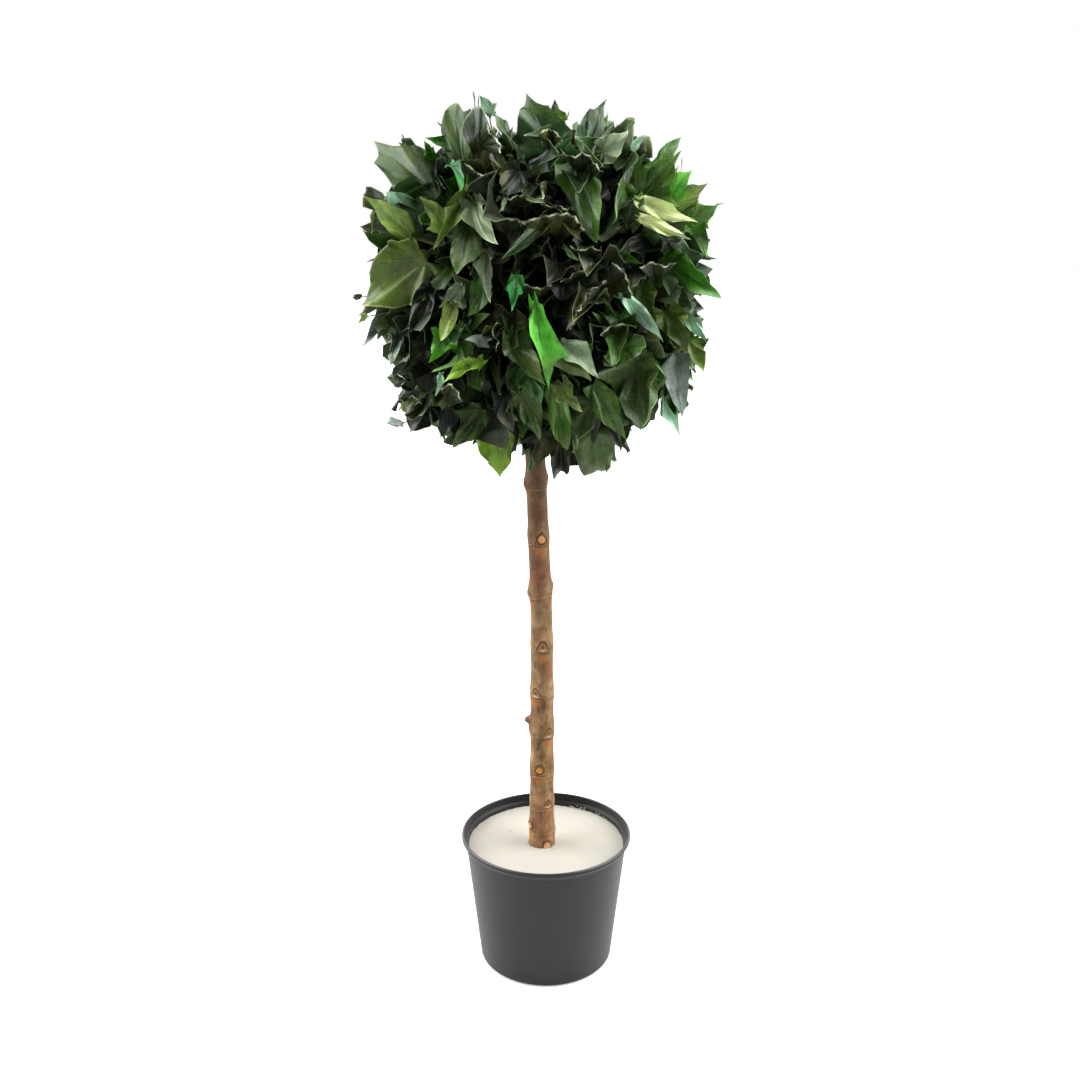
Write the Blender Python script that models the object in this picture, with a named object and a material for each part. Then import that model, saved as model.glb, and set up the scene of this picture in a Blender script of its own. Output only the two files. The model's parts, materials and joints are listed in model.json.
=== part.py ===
"""Potted ivy ball topiary: a nursery pot filled with plaster, a bare trunk and a ball of preserved ivy leaves.

Units are metres, +Z is up, and the origin is the middle of the pot's flat underside.
The side that faces the viewer is -Y.
"""

import math
import random

import bmesh
import bpy
from mathutils import Matrix, Vector

GAP = 0.0003

# Pot: height, outer radii, wall, and the lip that stands out round its mouth
POT_HEIGHT = 0.1942
POT_FOOT_RADIUS = 0.0945
POT_NECK_RADIUS = 0.1150
POT_LIP_RADIUS = 0.1213
POT_WALL = 0.0026
POT_FLOOR = 0.003
POT_FOOT_ROUND = 0.006
LIP_DEPTH = 0.006
LIP_ROUND = 0.0020
LIP_WIDTH = 0.0044
FLARE_DEPTH = 0.009
LEDGE_DEPTH = 0.0095
POT_SIDES = 56

# Plaster fill, with the seat that the trunk's foot is set in
PLASTER_TOP = 0.1765
SEAT_DEPTH = 0.005

# Trunk: radius at its foot, where it enters the ball and at its tip, and its lean to the left
TRUNK_PLACE = Vector((-0.006, 0.0))
TRUNK_FOOT = PLASTER_TOP - SEAT_DEPTH + GAP
TRUNK_NECK = 0.735
TRUNK_TIP = 0.980
TRUNK_FOOT_RADIUS = 0.0178
TRUNK_NECK_RADIUS = 0.0138
TRUNK_TIP_RADIUS = 0.0120
TRUNK_LEAN = math.radians(2.2)
LEAN_START = 0.45
LEAN_BEND = 0.12
TRUNK_SIDES = 14
TRUNK_RINGS = 56
NODE_SWELL = 0.0012
NODE_SPREAD = 0.011

# Bud scars: height, degrees round the trunk from the front, radius, and how far each stands out
BUD_SCARS = [
    (0.706, -89, 0.0063, 0.0030),
    (0.716, 86, 0.0057, 0.0020),
    (0.634, 16, 0.0061, 0.0012),
    (0.634, 194, 0.0061, 0.0016),
    (0.556, -82, 0.0067, 0.0034),
    (0.565, 92, 0.0061, 0.0026),
    (0.481, 4, 0.0053, 0.0010),
    (0.481, 184, 0.0057, 0.0018),
    (0.413, -31, 0.0051, 0.0010),
    (0.407, 150, 0.0057, 0.0016),
    (0.366, -92, 0.0051, 0.0080),
    (0.353, 33, 0.0055, 0.0014),
    (0.298, -12, 0.0061, 0.0022),
    (0.294, 170, 0.0057, 0.0018),
    (0.244, 28, 0.0047, 0.0012),
    (0.2085, -64, 0.0061, 0.0026),
    (0.196, 120, 0.0057, 0.0020),
    (0.187, 22, 0.0050, 0.0016),
]
SCAR_SIDES = 7
SCAR_ROOT_SHARE = 1.5
SCAR_TOP_SHARE = 0.75
STUB_LENGTH = 0.005
STUB_RISE = 0.35
SCAR_RISE = 0.1

# Ball: a foam core with leaves standing out of it, inside a slightly squared outline
BALL_CENTRE = Vector((-0.0122, 0.004, 0.9655))
BALL_REACH = 0.2382
BALL_SQUARENESS = 2.45
CORE_RADIUS = 0.163
CORE_SUBDIVISIONS = 2
LEAF_COUNT = 210
LEAF_LENGTH = (0.070, 0.098)
LEAF_WIDTH_SHARE = (0.62, 0.86)
LEAF_SHORTEST = 0.049
LEAF_SHOULDER = 0.36
LEAF_FOLD = 0.10
RIDGE_DROP = 0.16
LEAF_THICKNESS = 0.0024
LEAF_SINK = 0.010
LEAN_TOP, LEAN_SIDE, LEAN_FOOT = 16, 40, 26
LEAN_SCATTER = 12
TURN_SCATTER = 55
ROLL_SCATTER = 50
PLACE_SCATTER = 0.05
CAP_SHARE = 0.8
TRUNK_ROOM = 0.006
SEED = 11

# Leaves whose tips make the front outline: degrees round it, reach, length, and width as a share of length
OUTLINE_LEAVES = [
    (4, 0.237, 0.087, 0.80),
    (22, 0.251, 0.088, 0.70),
    (31, 0.250, 0.092, 0.62),
    (46, 0.259, 0.102, 0.85),
    (69, 0.249, 0.096, 0.85),
    (93, 0.234, 0.094, 0.95),
    (109, 0.252, 0.088, 0.45),
    (121, 0.242, 0.090, 0.75),
    (138, 0.271, 0.106, 0.80),
    (154, 0.247, 0.094, 0.75),
    (176, 0.238, 0.092, 0.90),
    (198, 0.244, 0.090, 0.70),
    (212, 0.240, 0.081, 0.60),
    (225, 0.259, 0.090, 0.55),
    (238, 0.240, 0.086, 0.70),
    (259, 0.248, 0.094, 0.85),
    (292, 0.261, 0.102, 0.95),
    (304, 0.248, 0.098, 0.90),
    (315, 0.263, 0.088, 0.50),
    (329, 0.250, 0.086, 0.60),
    (350, 0.230, 0.086, 0.70),
]
OUTLINE_SPREAD = 14


def clear_scene():
    for obj in list(bpy.data.objects):
        bpy.data.objects.remove(obj, do_unlink=True)


def finish(name, colour, roughness):
    """A plain non-metallic finish."""
    material = bpy.data.materials.new(name)
    material.use_nodes = True
    shader = material.node_tree.nodes["Principled BSDF"]
    shader.inputs["Base Color"].default_value = (*colour, 1)
    shader.inputs["Roughness"].default_value = roughness
    shader.inputs["Metallic"].default_value = 0.0
    return material


def mesh_object(name, bm, material=None, collection=None):
    """Turns a bmesh into an object, in the scene or in a helper collection."""
    mesh = bpy.data.meshes.new(name)
    bm.to_mesh(mesh)
    bm.free()
    obj = bpy.data.objects.new(name, mesh)
    (collection or bpy.context.scene.collection).objects.link(obj)
    if material:
        mesh.materials.append(material)
    return obj


def smooth(obj):
    obj.data.shade_smooth()
    obj.data.set_sharp_from_angle(angle=math.radians(35))


def helper_collection(name):
    collection = bpy.data.collections.new(name)
    bpy.context.scene.collection.children.link(collection)
    return collection


def join(obj, others, operation, solver="EXACT"):
    """Applies one Boolean of a collection to obj, then removes the collection's objects."""
    modifier = obj.modifiers.new("join", "BOOLEAN")
    modifier.operation = operation
    modifier.operand_type = "COLLECTION"
    modifier.collection = others
    modifier.solver = solver
    bpy.context.view_layer.update()
    result = bpy.data.meshes.new_from_object(obj.evaluated_get(bpy.context.evaluated_depsgraph_get()))
    obj.modifiers.clear()
    obj.data = result
    for other in list(others.objects):
        bpy.data.objects.remove(other, do_unlink=True)


def ring_points(middle, radius, sides):
    """Points of a level ring round middle."""
    for side in range(sides):
        turn = 2 * math.pi * side / sides
        yield middle + radius * Vector((math.cos(turn), math.sin(turn), 0))


def lofted(rings):
    """A closed solid from a list of rings of points, with a flat face at each end."""
    bm = bmesh.new()
    loops = [[bm.verts.new(point) for point in ring] for ring in rings]
    for lower, upper in zip(loops, loops[1:]):
        for side in range(len(lower)):
            after = (side + 1) % len(lower)
            bm.faces.new((lower[side], lower[after], upper[after], upper[side]))
    bm.faces.new(list(reversed(loops[0])))
    bm.faces.new(loops[-1])
    bmesh.ops.recalc_face_normals(bm, faces=bm.faces)
    return bm


def turned(profile):
    """A closed solid turned about Z from (radius, height) points, with a flat face at each end."""
    return lofted([ring_points(Vector((0, 0, height)), radius, POT_SIDES) for radius, height in profile])


def arc(radius, height, bend, start, end, steps):
    """Points of a profile's round corner about (radius, height), from start to end in degrees."""
    for step in range(steps + 1):
        turn = math.radians(start + (end - start) * step / steps)
        yield radius + bend * math.cos(turn), height + bend * math.sin(turn)


def pot_wall_radius(height):
    """Outer radius of the pot's tapered wall."""
    share = height / (POT_HEIGHT - LIP_DEPTH - FLARE_DEPTH)
    return POT_FOOT_RADIUS + (POT_NECK_RADIUS - POT_FOOT_RADIUS) * share


def make_pot():
    """The tapered pot: a flat round-edged foot, a wall that flares to the lip, and a ledge inside its mouth."""
    lip_under = POT_HEIGHT - LIP_DEPTH
    flare = lip_under - FLARE_DEPTH
    ledge = POT_HEIGHT - LEDGE_DEPTH
    lip_centre = POT_LIP_RADIUS - LIP_ROUND
    mouth = POT_LIP_RADIUS - LIP_WIDTH
    inner_neck = POT_NECK_RADIUS - POT_WALL
    foot_centre = pot_wall_radius(POT_FOOT_ROUND) - POT_FOOT_ROUND
    profile = [
        *arc(foot_centre, POT_FOOT_ROUND, POT_FOOT_ROUND, -90, 0, 3),
        (POT_NECK_RADIUS, flare),
        *arc(lip_centre, lip_under + LIP_ROUND, LIP_ROUND, -60, 0, 1),
        *arc(lip_centre, POT_HEIGHT - LIP_ROUND, LIP_ROUND, 0, 90, 2),
        (mouth, POT_HEIGHT - LIP_ROUND / 2),
        (mouth, ledge + LIP_ROUND / 2),
        (inner_neck, ledge),
        (inner_neck, flare),
        (pot_wall_radius(POT_FLOOR) - POT_WALL, POT_FLOOR),
    ]
    pot = mesh_object("pot", turned(profile), finish("pot_plastic", (0.045, 0.047, 0.045), 0.5))
    smooth(pot)


def trunk_middle(height):
    """Centre of the trunk: upright from the plaster, then leaning to the left past a soft bend."""
    above = max(0.0, height - LEAN_START)
    run = above * above / (2 * LEAN_BEND) if above < LEAN_BEND else above - LEAN_BEND / 2
    return Vector((TRUNK_PLACE.x - math.tan(TRUNK_LEAN) * run, TRUNK_PLACE.y, height))


def trunk_radius(height):
    """Taper of the trunk, with a slight swelling at each bud scar."""
    if height < TRUNK_NECK:
        share = (height - TRUNK_FOOT) / (TRUNK_NECK - TRUNK_FOOT)
        radius = TRUNK_FOOT_RADIUS + (TRUNK_NECK_RADIUS - TRUNK_FOOT_RADIUS) * share
    else:
        share = (height - TRUNK_NECK) / (TRUNK_TIP - TRUNK_NECK)
        radius = TRUNK_NECK_RADIUS + (TRUNK_TIP_RADIUS - TRUNK_NECK_RADIUS) * share
    swell = max(math.exp(-(((height - scar[0]) / NODE_SPREAD) ** 2)) for scar in BUD_SCARS)
    return radius + NODE_SWELL * swell


def lofted_trunk(grow):
    """The plain trunk with every side and both ends moved out by grow."""
    rings = []
    for ring in range(TRUNK_RINGS):
        height = TRUNK_FOOT + (TRUNK_TIP - TRUNK_FOOT) * ring / (TRUNK_RINGS - 1)
        middle = trunk_middle(height)
        if ring == 0:
            middle.z -= grow
        elif ring == TRUNK_RINGS - 1:
            middle.z += grow
        rings.append(ring_points(middle, trunk_radius(height) + grow, TRUNK_SIDES))
    return lofted(rings)


def bud_scar(height, direction, radius, out):
    """A tapering stub that stands out of the trunk, its root well inside."""
    turn = math.radians(direction - 90)
    outward = Vector((math.cos(turn), math.sin(turn), 0))
    half = trunk_radius(height) / 2
    rise = STUB_RISE if out > STUB_LENGTH else SCAR_RISE
    along = (outward + Vector((0, 0, rise))).normalized()
    root, top = radius * SCAR_ROOT_SHARE, radius * SCAR_TOP_SHARE
    length = half + out
    bm = bmesh.new()
    bmesh.ops.create_cone(bm, cap_ends=True, segments=SCAR_SIDES, radius1=root, radius2=top, depth=length)
    middle = trunk_middle(height) + outward * half + along * length / 2
    place = Matrix.Translation(middle) @ along.to_track_quat("Z", "Y").to_matrix().to_4x4()
    bmesh.ops.transform(bm, matrix=place, verts=bm.verts)
    return bm


def make_trunk():
    """The trunk from its flat cut foot to its tip inside the ball, with its bud scars."""
    trunk = mesh_object("trunk", lofted_trunk(0), finish("bark", (0.27, 0.17, 0.10), 0.7))
    scars = helper_collection("scars")
    for scar in BUD_SCARS:
        mesh_object("scar", bud_scar(*scar), collection=scars)
    join(trunk, scars, "UNION")
    smooth(trunk)


def make_plaster():
    """The plaster cast in the pot, with a seat for the trunk's foot."""
    clear = POT_WALL + GAP
    foot = POT_FLOOR + GAP
    profile = [(pot_wall_radius(height) - clear, height) for height in (foot, PLASTER_TOP)]
    plaster = mesh_object("plaster_fill", turned(profile), finish("plaster", (0.80, 0.76, 0.67), 0.9))
    cutters = helper_collection("seat")
    mesh_object("seat_cutter", lofted_trunk(GAP), collection=cutters)
    join(plaster, cutters, "DIFFERENCE")
    smooth(plaster)


def ball_reach(direction):
    """How far the clipped ball reaches in a direction from its centre."""
    flat = math.hypot(direction.x, direction.y) ** BALL_SQUARENESS
    upright = abs(direction.z) ** BALL_SQUARENESS
    return BALL_REACH / (flat + upright) ** (1 / BALL_SQUARENESS)


def core_radius(direction):
    return ball_reach(direction) * CORE_RADIUS / BALL_REACH


def leaf_lean(height_share):
    """Degrees that a leaf leans away from the radius, from the ball's foot (-1) to its top (1)."""
    far = LEAN_TOP if height_share > 0 else LEAN_FOOT
    return LEAN_SIDE + (far - LEAN_SIDE) * abs(height_share)


def leaf_solid(root, along, face, length, width):
    """A thin leaf folded along its middle rib: root, two shoulders, tip, and a ridge above and below."""
    across = along.cross(face).normalized()
    face = across.cross(along).normalized()
    shoulder = root + along * length * LEAF_SHOULDER
    tip = root + along * length - face * width * LEAF_FOLD
    ridge = shoulder - face * width * RIDGE_DROP
    bm = bmesh.new()
    rim = [bm.verts.new(p) for p in (root, shoulder + across * width / 2, tip, shoulder - across * width / 2)]
    upper = bm.verts.new(ridge + face * LEAF_THICKNESS / 2)
    under = bm.verts.new(ridge - face * LEAF_THICKNESS / 2)
    for first, second in zip(rim, rim[1:] + rim[:1]):
        bm.faces.new((first, second, upper))
        bm.faces.new((second, first, under))
    bmesh.ops.recalc_face_normals(bm, faces=bm.faces)
    return bm


def clear_of_trunk(point):
    away = Vector((point.x, point.y)) - trunk_middle(point.z).xy
    return away.length > trunk_radius(point.z) + TRUNK_ROOM


def scattered_leaf(height_share, turn, dice):
    """Root, way, face, length and width of a leaf on the golden spiral, or None where it has no room."""
    flat = math.sqrt(1 - height_share * height_share)
    outward = Vector((flat * math.cos(turn), flat * math.sin(turn), height_share))
    outward += PLACE_SCATTER * Vector([dice.uniform(-1, 1) for axis in range(3)])
    outward.normalize()
    downward = (outward * outward.z - Vector((0, 0, 1))).normalized()
    spread = 180 if abs(outward.z) > CAP_SHARE else TURN_SCATTER
    sideways = Matrix.Rotation(math.radians(dice.uniform(-spread, spread)), 3, outward) @ downward
    lean = math.radians(leaf_lean(outward.z) + dice.uniform(-LEAN_SCATTER, LEAN_SCATTER))
    along = (outward * math.cos(lean) + sideways * math.sin(lean)).normalized()
    roll = math.radians(dice.uniform(-ROLL_SCATTER, ROLL_SCATTER))
    face = Matrix.Rotation(roll, 3, along) @ (outward - along * outward.dot(along)).normalized()
    length = dice.uniform(*LEAF_LENGTH)
    width = length * dice.uniform(*LEAF_WIDTH_SHARE)
    root = BALL_CENTRE + outward * (core_radius(outward) - LEAF_SINK)
    tip = root + along * length - BALL_CENTRE
    over = tip.length - ball_reach(tip.normalized())
    if over > 0:
        length -= over / along.dot(tip.normalized())
    free = clear_of_trunk(root + along * length / 2) and clear_of_trunk(root + along * length)
    return (root, along, face, length, width) if free and length > LEAF_SHORTEST else None


def outline_leaf(clock, reach, length, width_share, dice):
    """A leaf whose tip stands on the front outline and whose face is turned to the viewer."""
    turn = math.radians(clock)
    outward = Vector((math.cos(turn), dice.uniform(-0.1, 0.1), math.sin(turn))).normalized()
    bend = math.radians(dice.uniform(-OUTLINE_SPREAD, OUTLINE_SPREAD))
    along = Matrix.Rotation(bend, 3, "Y") @ outward
    face = Vector((dice.uniform(-0.4, 0.4), -1, dice.uniform(-0.2, 0.4))).normalized()
    root = BALL_CENTRE + outward * reach - along * length
    return root, along, face, length, length * width_share


def keep_largest_body(obj):
    """Drops loose scraps and the shells of sealed hollows, so that one solid body stays."""
    bm = bmesh.new()
    bm.from_mesh(obj.data)
    bodies, seen = [], set()
    for start in bm.verts:
        if start in seen:
            continue
        seen.add(start)
        body = [start]
        for vertex in body:
            near = [edge.other_vert(vertex) for edge in vertex.link_edges]
            fresh = [other for other in near if other not in seen]
            seen.update(fresh)
            body.extend(dict.fromkeys(fresh))
        bodies.append(body)
    bodies.sort(key=len)
    for scrap in bodies[:-1]:
        bmesh.ops.delete(bm, geom=scrap, context="VERTS")
    bm.to_mesh(obj.data)
    bm.free()


def make_ball():
    """The foam core with every leaf fused to it, cut clear of the trunk, as one closed body."""
    dice = random.Random(SEED)
    core = bmesh.new()
    bmesh.ops.create_icosphere(core, subdivisions=CORE_SUBDIVISIONS, radius=1)
    for vertex in core.verts:
        outward = vertex.co.normalized()
        vertex.co = BALL_CENTRE + outward * core_radius(outward)
    ball = mesh_object("ivy_ball", core, finish("ivy_leaf", (0.045, 0.10, 0.03), 0.5))
    chosen = [outline_leaf(*entry, dice) for entry in OUTLINE_LEAVES]
    golden_turn = math.pi * (3 - math.sqrt(5))
    for index in range(LEAF_COUNT):
        height_share = 1 - (2 * index + 1) / LEAF_COUNT
        chosen.append(scattered_leaf(height_share, index * golden_turn, dice))
    leaves = helper_collection("leaves")
    for leaf in filter(None, chosen):
        mesh_object("leaf", leaf_solid(*leaf), collection=leaves)
    join(ball, leaves, "UNION", "MANIFOLD")
    cutters = helper_collection("socket")
    mesh_object("socket_cutter", lofted_trunk(GAP), collection=cutters)
    join(ball, cutters, "DIFFERENCE", "MANIFOLD")
    keep_largest_body(ball)
    smooth(ball)


clear_scene()
make_pot()
make_plaster()
make_trunk()
make_ball()
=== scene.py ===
"""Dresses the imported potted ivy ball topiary: leaves and stalks on a dark core, trunk, plaster and pot.

Units are metres, +Z is up, and the viewer stands on the -Y side.
"""

import json
import math
import random

import bmesh
import bpy
import numpy as np
from mathutils import Matrix, Vector, noise

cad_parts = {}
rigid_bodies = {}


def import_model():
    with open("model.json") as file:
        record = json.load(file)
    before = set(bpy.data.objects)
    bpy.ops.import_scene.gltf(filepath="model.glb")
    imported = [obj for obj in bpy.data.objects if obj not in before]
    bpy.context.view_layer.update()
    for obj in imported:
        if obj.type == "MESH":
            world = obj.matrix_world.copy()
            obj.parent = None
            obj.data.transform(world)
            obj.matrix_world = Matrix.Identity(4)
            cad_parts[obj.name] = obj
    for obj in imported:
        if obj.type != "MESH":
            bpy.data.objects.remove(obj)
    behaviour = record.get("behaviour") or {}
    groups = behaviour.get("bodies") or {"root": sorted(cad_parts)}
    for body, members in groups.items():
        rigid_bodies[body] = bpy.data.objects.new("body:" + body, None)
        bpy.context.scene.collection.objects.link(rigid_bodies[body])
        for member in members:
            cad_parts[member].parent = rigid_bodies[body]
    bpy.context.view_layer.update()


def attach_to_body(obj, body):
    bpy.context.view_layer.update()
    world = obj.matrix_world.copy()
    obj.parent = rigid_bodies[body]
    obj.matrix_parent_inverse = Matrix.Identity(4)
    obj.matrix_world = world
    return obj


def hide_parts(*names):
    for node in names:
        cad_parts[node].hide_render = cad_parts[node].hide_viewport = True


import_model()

bl_info = {
    "name": "Potted ivy ball topiary",
    "version": (1, 0, 0),
    "blender": (4, 5, 0),
    "location": "View3D > Sidebar > Topiary",
    "description": "Makes the leaves, trunk, plaster, pot and stage of a potted ivy ball topiary",
    "category": "Add Mesh",
}

BODY = "root"
GAP = 0.0003

# Camera: where it stands, how far it looks down, and its focal length in pixels of a square picture
PHOTO_SIDE = 1080
FOCAL_PIXELS = 1300
SENSOR_MM = 36
CAMERA_PLACE = Vector((-0.0088, -1.6875, 1.1158))
CAMERA_PITCH = math.radians(16.03)
CAMERA_AHEAD = Vector((0, math.cos(CAMERA_PITCH), -math.sin(CAMERA_PITCH)))
CAMERA_UP = Vector((0, math.sin(CAMERA_PITCH), math.cos(CAMERA_PITCH)))
# The search along a line of sight starts this far in front of the ball's middle, and goes on in steps
SEARCH_AHEAD = 0.30
SEARCH_STEP = 0.002
SEARCH_STEPS = 160

# Pot, as in the part's source
POT_HEIGHT = 0.1942
POT_FOOT_RADIUS = 0.0945
POT_NECK_RADIUS = 0.1150
POT_LIP_RADIUS = 0.1213
POT_WALL = 0.0026
POT_FLOOR = 0.003
POT_FOOT_ROUND = 0.006
LIP_DEPTH = 0.006
LIP_ROUND = 0.0020
FLARE_DEPTH = 0.009
# Underside of the pot's foot, and the inside of its lip down to the ledge: radius and height
FOOT_STEP = [(0.0, 0.0016), (0.078, 0.0016), (0.0795, 0.0012), (0.0805, 0.0003), (0.0815, 0.0)]
LEDGE = [
    (0.1186, 0.1942), (0.1178, 0.1938), (0.1174, 0.1930), (0.1172, 0.1912), (0.1164, 0.1877),
    (0.1157, 0.1846), (0.1154, 0.1839), (0.1148, 0.1835), (0.1134, 0.1832), (0.1127, 0.1828),
    (0.1124, 0.1818),
]
LEDGE_FOOT = 0.1790

# Plaster, as in the part's source
PLASTER_TOP = 0.1765
SEAT_DEPTH = 0.005
SEAT_ROOM = 0.0016
# Crumbs that cling to the pot's wall above the plaster: how many, degrees round the pot, and their radius
CRUMBS = 30
CRUMB_TURNS = (34, 76)
CRUMB_RADII = (0.0007, 0.0015)

# Trunk, as in the part's source
TRUNK_PLACE = Vector((-0.006, 0.0))
TRUNK_FOOT = PLASTER_TOP - SEAT_DEPTH + GAP
TRUNK_NECK = 0.735
TRUNK_TIP = 0.980
TRUNK_FOOT_RADIUS = 0.0178
TRUNK_NECK_RADIUS = 0.0138
TRUNK_TIP_RADIUS = 0.0120
TRUNK_LEAN = math.radians(2.2)
LEAN_START = 0.45
LEAN_BEND = 0.12
NODE_SWELL = 0.0012
NODE_SPREAD = 0.011

# Bud scars: height, degrees round the trunk from the front, radius, how far each stands out, and its kind
BUD_SCARS = [
    (0.710, -89, 0.0050, 0.0026, "knot"),
    (0.718, 86, 0.0050, 0.0020, "eye"),
    (0.636, 16, 0.0058, 0.0012, "disc"),
    (0.636, 194, 0.0058, 0.0016, "eye"),
    (0.557, -82, 0.0060, 0.0030, "eye"),
    (0.567, 92, 0.0056, 0.0024, "eye"),
    (0.4828, 4, 0.0055, 0.0010, "eye"),
    (0.4828, 184, 0.0056, 0.0018, "disc"),
    (0.4142, -31, 0.0050, 0.0010, "eye"),
    (0.4080, 150, 0.0056, 0.0016, "eye"),
    (0.3660, -91, 0.0042, 0.0062, "stub"),
    (0.3539, 33, 0.0052, 0.0014, "eye"),
    (0.2993, -12, 0.0056, 0.0016, "cut"),
    (0.2950, 170, 0.0056, 0.0018, "disc"),
    (0.2456, 28, 0.0042, 0.0012, "eye"),
    (0.2094, -62, 0.0052, 0.0024, "knot"),
    (0.1960, 120, 0.0056, 0.0020, "disc"),
    (0.1812, 22, 0.0056, 0.0016, "knot"),
]
# Colours of the marks on the bark. The dark crease colour is partly the bark's own dark lines, partly painted
# shade under ridges and in hollows
BARK_MARKS = {"rust": "#bf7d40", "scar": "#fba640", "pale": "#f0dcc0", "crease": "#241206", "tan": "#d6a873"}
# Raised rings where a year's growth ends: height, and how far each rises from the trunk's middle to its right
GROWTH_RINGS = [
    (0.7025, 0.0006),
    (0.6262, -0.0006),
    (0.5525, 0.0030),
    (0.4722, 0.0006),
    (0.4045, 0.0036),
    (0.3455, -0.0010),
    (0.2860, 0.0006),
    (0.2340, -0.0015),
    (0.1965, 0.0012),
]

# Ball, as in the part's source
BALL_CENTRE = Vector((-0.0122, 0.004, 0.9655))
BALL_REACH = 0.2382
BALL_SQUARENESS = 2.45
LEAN_TOP, LEAN_SIDE, LEAN_FOOT = 16, 40, 26
CAP_SHARE = 0.8
TRUNK_ROOM = 0.006
GOLDEN_TURN = math.pi * (3 - math.sqrt(5))

# Half outlines of ivy leaves of unit length, from the notch at the stalk round to the tip: across and along.
# The second value of each pair gives the points that the side veins run to.
OUTLINES = {
    "heart": (
        [(0, -0.03), (0.09, -0.12), (0.23, -0.14), (0.36, -0.05), (0.43, 0.12), (0.42, 0.30), (0.35, 0.48),
         (0.24, 0.66), (0.10, 0.83), (0.030, 0.93), (0, 1)],
        (3, 6),
    ),
    "shield": (
        [(0, -0.03), (0.10, -0.13), (0.25, -0.15), (0.38, -0.08), (0.46, 0.04), (0.55, 0.20), (0.42, 0.32),
         (0.35, 0.46), (0.25, 0.62), (0.10, 0.81), (0.030, 0.92), (0, 1)],
        (3, 5),
    ),
    "five": (
        [(0, -0.04), (0.10, -0.13), (0.20, -0.17), (0.36, -0.20), (0.37, -0.02), (0.44, 0.10), (0.62, 0.27),
         (0.40, 0.33), (0.29, 0.44), (0.24, 0.60), (0.13, 0.77), (0.035, 0.92), (0, 1)],
        (3, 6),
    ),
    "lance": (
        [(0, -0.01), (0.07, -0.05), (0.15, -0.01), (0.20, 0.10), (0.24, 0.24), (0.24, 0.38), (0.20, 0.55),
         (0.12, 0.73), (0.035, 0.91), (0, 1)],
        (3, 6),
    ),
    "halberd": (
        [(0, -0.02), (0.08, -0.07), (0.18, 0.0), (0.20, 0.14), (0.24, 0.26), (0.40, 0.38), (0.25, 0.45),
         (0.19, 0.58), (0.12, 0.74), (0.035, 0.91), (0, 1)],
        (3, 5),
    ),
    "sickle": (
        [(0, -0.01), (0.06, -0.04), (0.12, 0.03), (0.14, 0.18), (0.16, 0.34), (0.24, 0.52), (0.46, 0.66),
         (0.22, 0.70), (0.13, 0.80), (0.035, 0.92), (0, 1)],
        (3, 6),
    ),
    "ruffle": (
        [(0, -0.03), (0.10, -0.12), (0.25, -0.13), (0.38, -0.03), (0.46, 0.14), (0.46, 0.32), (0.40, 0.50),
         (0.27, 0.68), (0.13, 0.84), (0.035, 0.94), (0, 1)],
        (3, 6),
    ),
    "rhomb": (
        [(0, -0.01), (0.09, -0.03), (0.22, 0.05), (0.34, 0.20), (0.40, 0.36), (0.34, 0.50), (0.25, 0.64),
         (0.12, 0.79), (0.032, 0.92), (0, 1)],
        (3, 5),
    ),
    "oval": (
        [(0, -0.01), (0.08, -0.05), (0.20, -0.01), (0.29, 0.12), (0.34, 0.28), (0.35, 0.46), (0.31, 0.64),
         (0.22, 0.80), (0.10, 0.92), (0.040, 0.975), (0, 1)],
        (3, 6),
    ),
}
FORMS_EACH = 6
FORM_SEED = 23
LEAF_THICKNESS = 0.010
VEIN_WIDTH = 0.009
PALE_RIMS = 0.25
SHARP_TURN = math.radians(60)
LEAF_PARTS = ("Face", "Underside", "Margin", "Vein")
LEAF_GLOSS = 0.52
DARK_GLOSS = 0.36
# Lopsided kinds, and the kind that their narrower half follows
LEFT_HALVES = {"sickle": "lance", "shield": "heart"}
# How closely a form is meshed: points between veins, rings out from the stalk, and whether veins are drawn.
# Then how strongly it is bent, and how strongly waved
MESHING = {
    "standing": (5, (0.20, 0.45, 0.70, 0.88, 0.965, 1.0), True, 0.66, 1.2),
    "fine": (4, (0.25, 0.55, 0.82, 0.96, 1.0), True, 1.15, 1.3),
    "plain": (3, (0.36, 0.74, 1.0), False, 1.15, 1.2),
}

# Leaf tints: sRGB colour of the face. The silver tints are pale for a painted sheen, and mint is partly a
# painted sheen
TINTS = {
    "blackgreen": "#0d140b",
    "bottle": "#111f0d",
    "fir": "#102a12",
    "forest": "#173c0e",
    "olive_dark": "#262f12",
    "moss": "#305312",
    "olive": "#4a6020",
    "grass": "#357010",
    "lime": "#5aa83a",
    "fern": "#4e7b31",
    "sage": "#4d633a",
    "sage_dark": "#334a20",
    "silver": "#67785c",
    "mint": "#84aa90",
    "teal": "#4d7855",
    "slate": "#252d2c",
    "slate_silver": "#6b7872",
    "khaki": "#6c853a",
    "cream_green": "#a3ae7c",
    "emerald": "#206f33",
    "yellow_lime": "#6c9418",
    "curled": "#131c0d",
}
# How far the cut edge of a leaf is paler than its face: partly the edge's own paler green, partly a painted
# highlight along it, more so on curled leaves
MARGIN_SHARE = 0.36
CURLED_MARGIN_SHARE = 0.62
# Share of the scattered leaves that has each tint, from the darkest and lowest to the brightest and highest
TINT_SHARES = [
    ("blackgreen", 14), ("slate", 2), ("bottle", 15), ("fir", 8), ("olive_dark", 9), ("forest", 20),
    ("sage_dark", 4), ("moss", 13), ("teal", 1), ("olive", 5), ("fern", 3), ("grass", 5), ("sage", 1),
]
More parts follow.
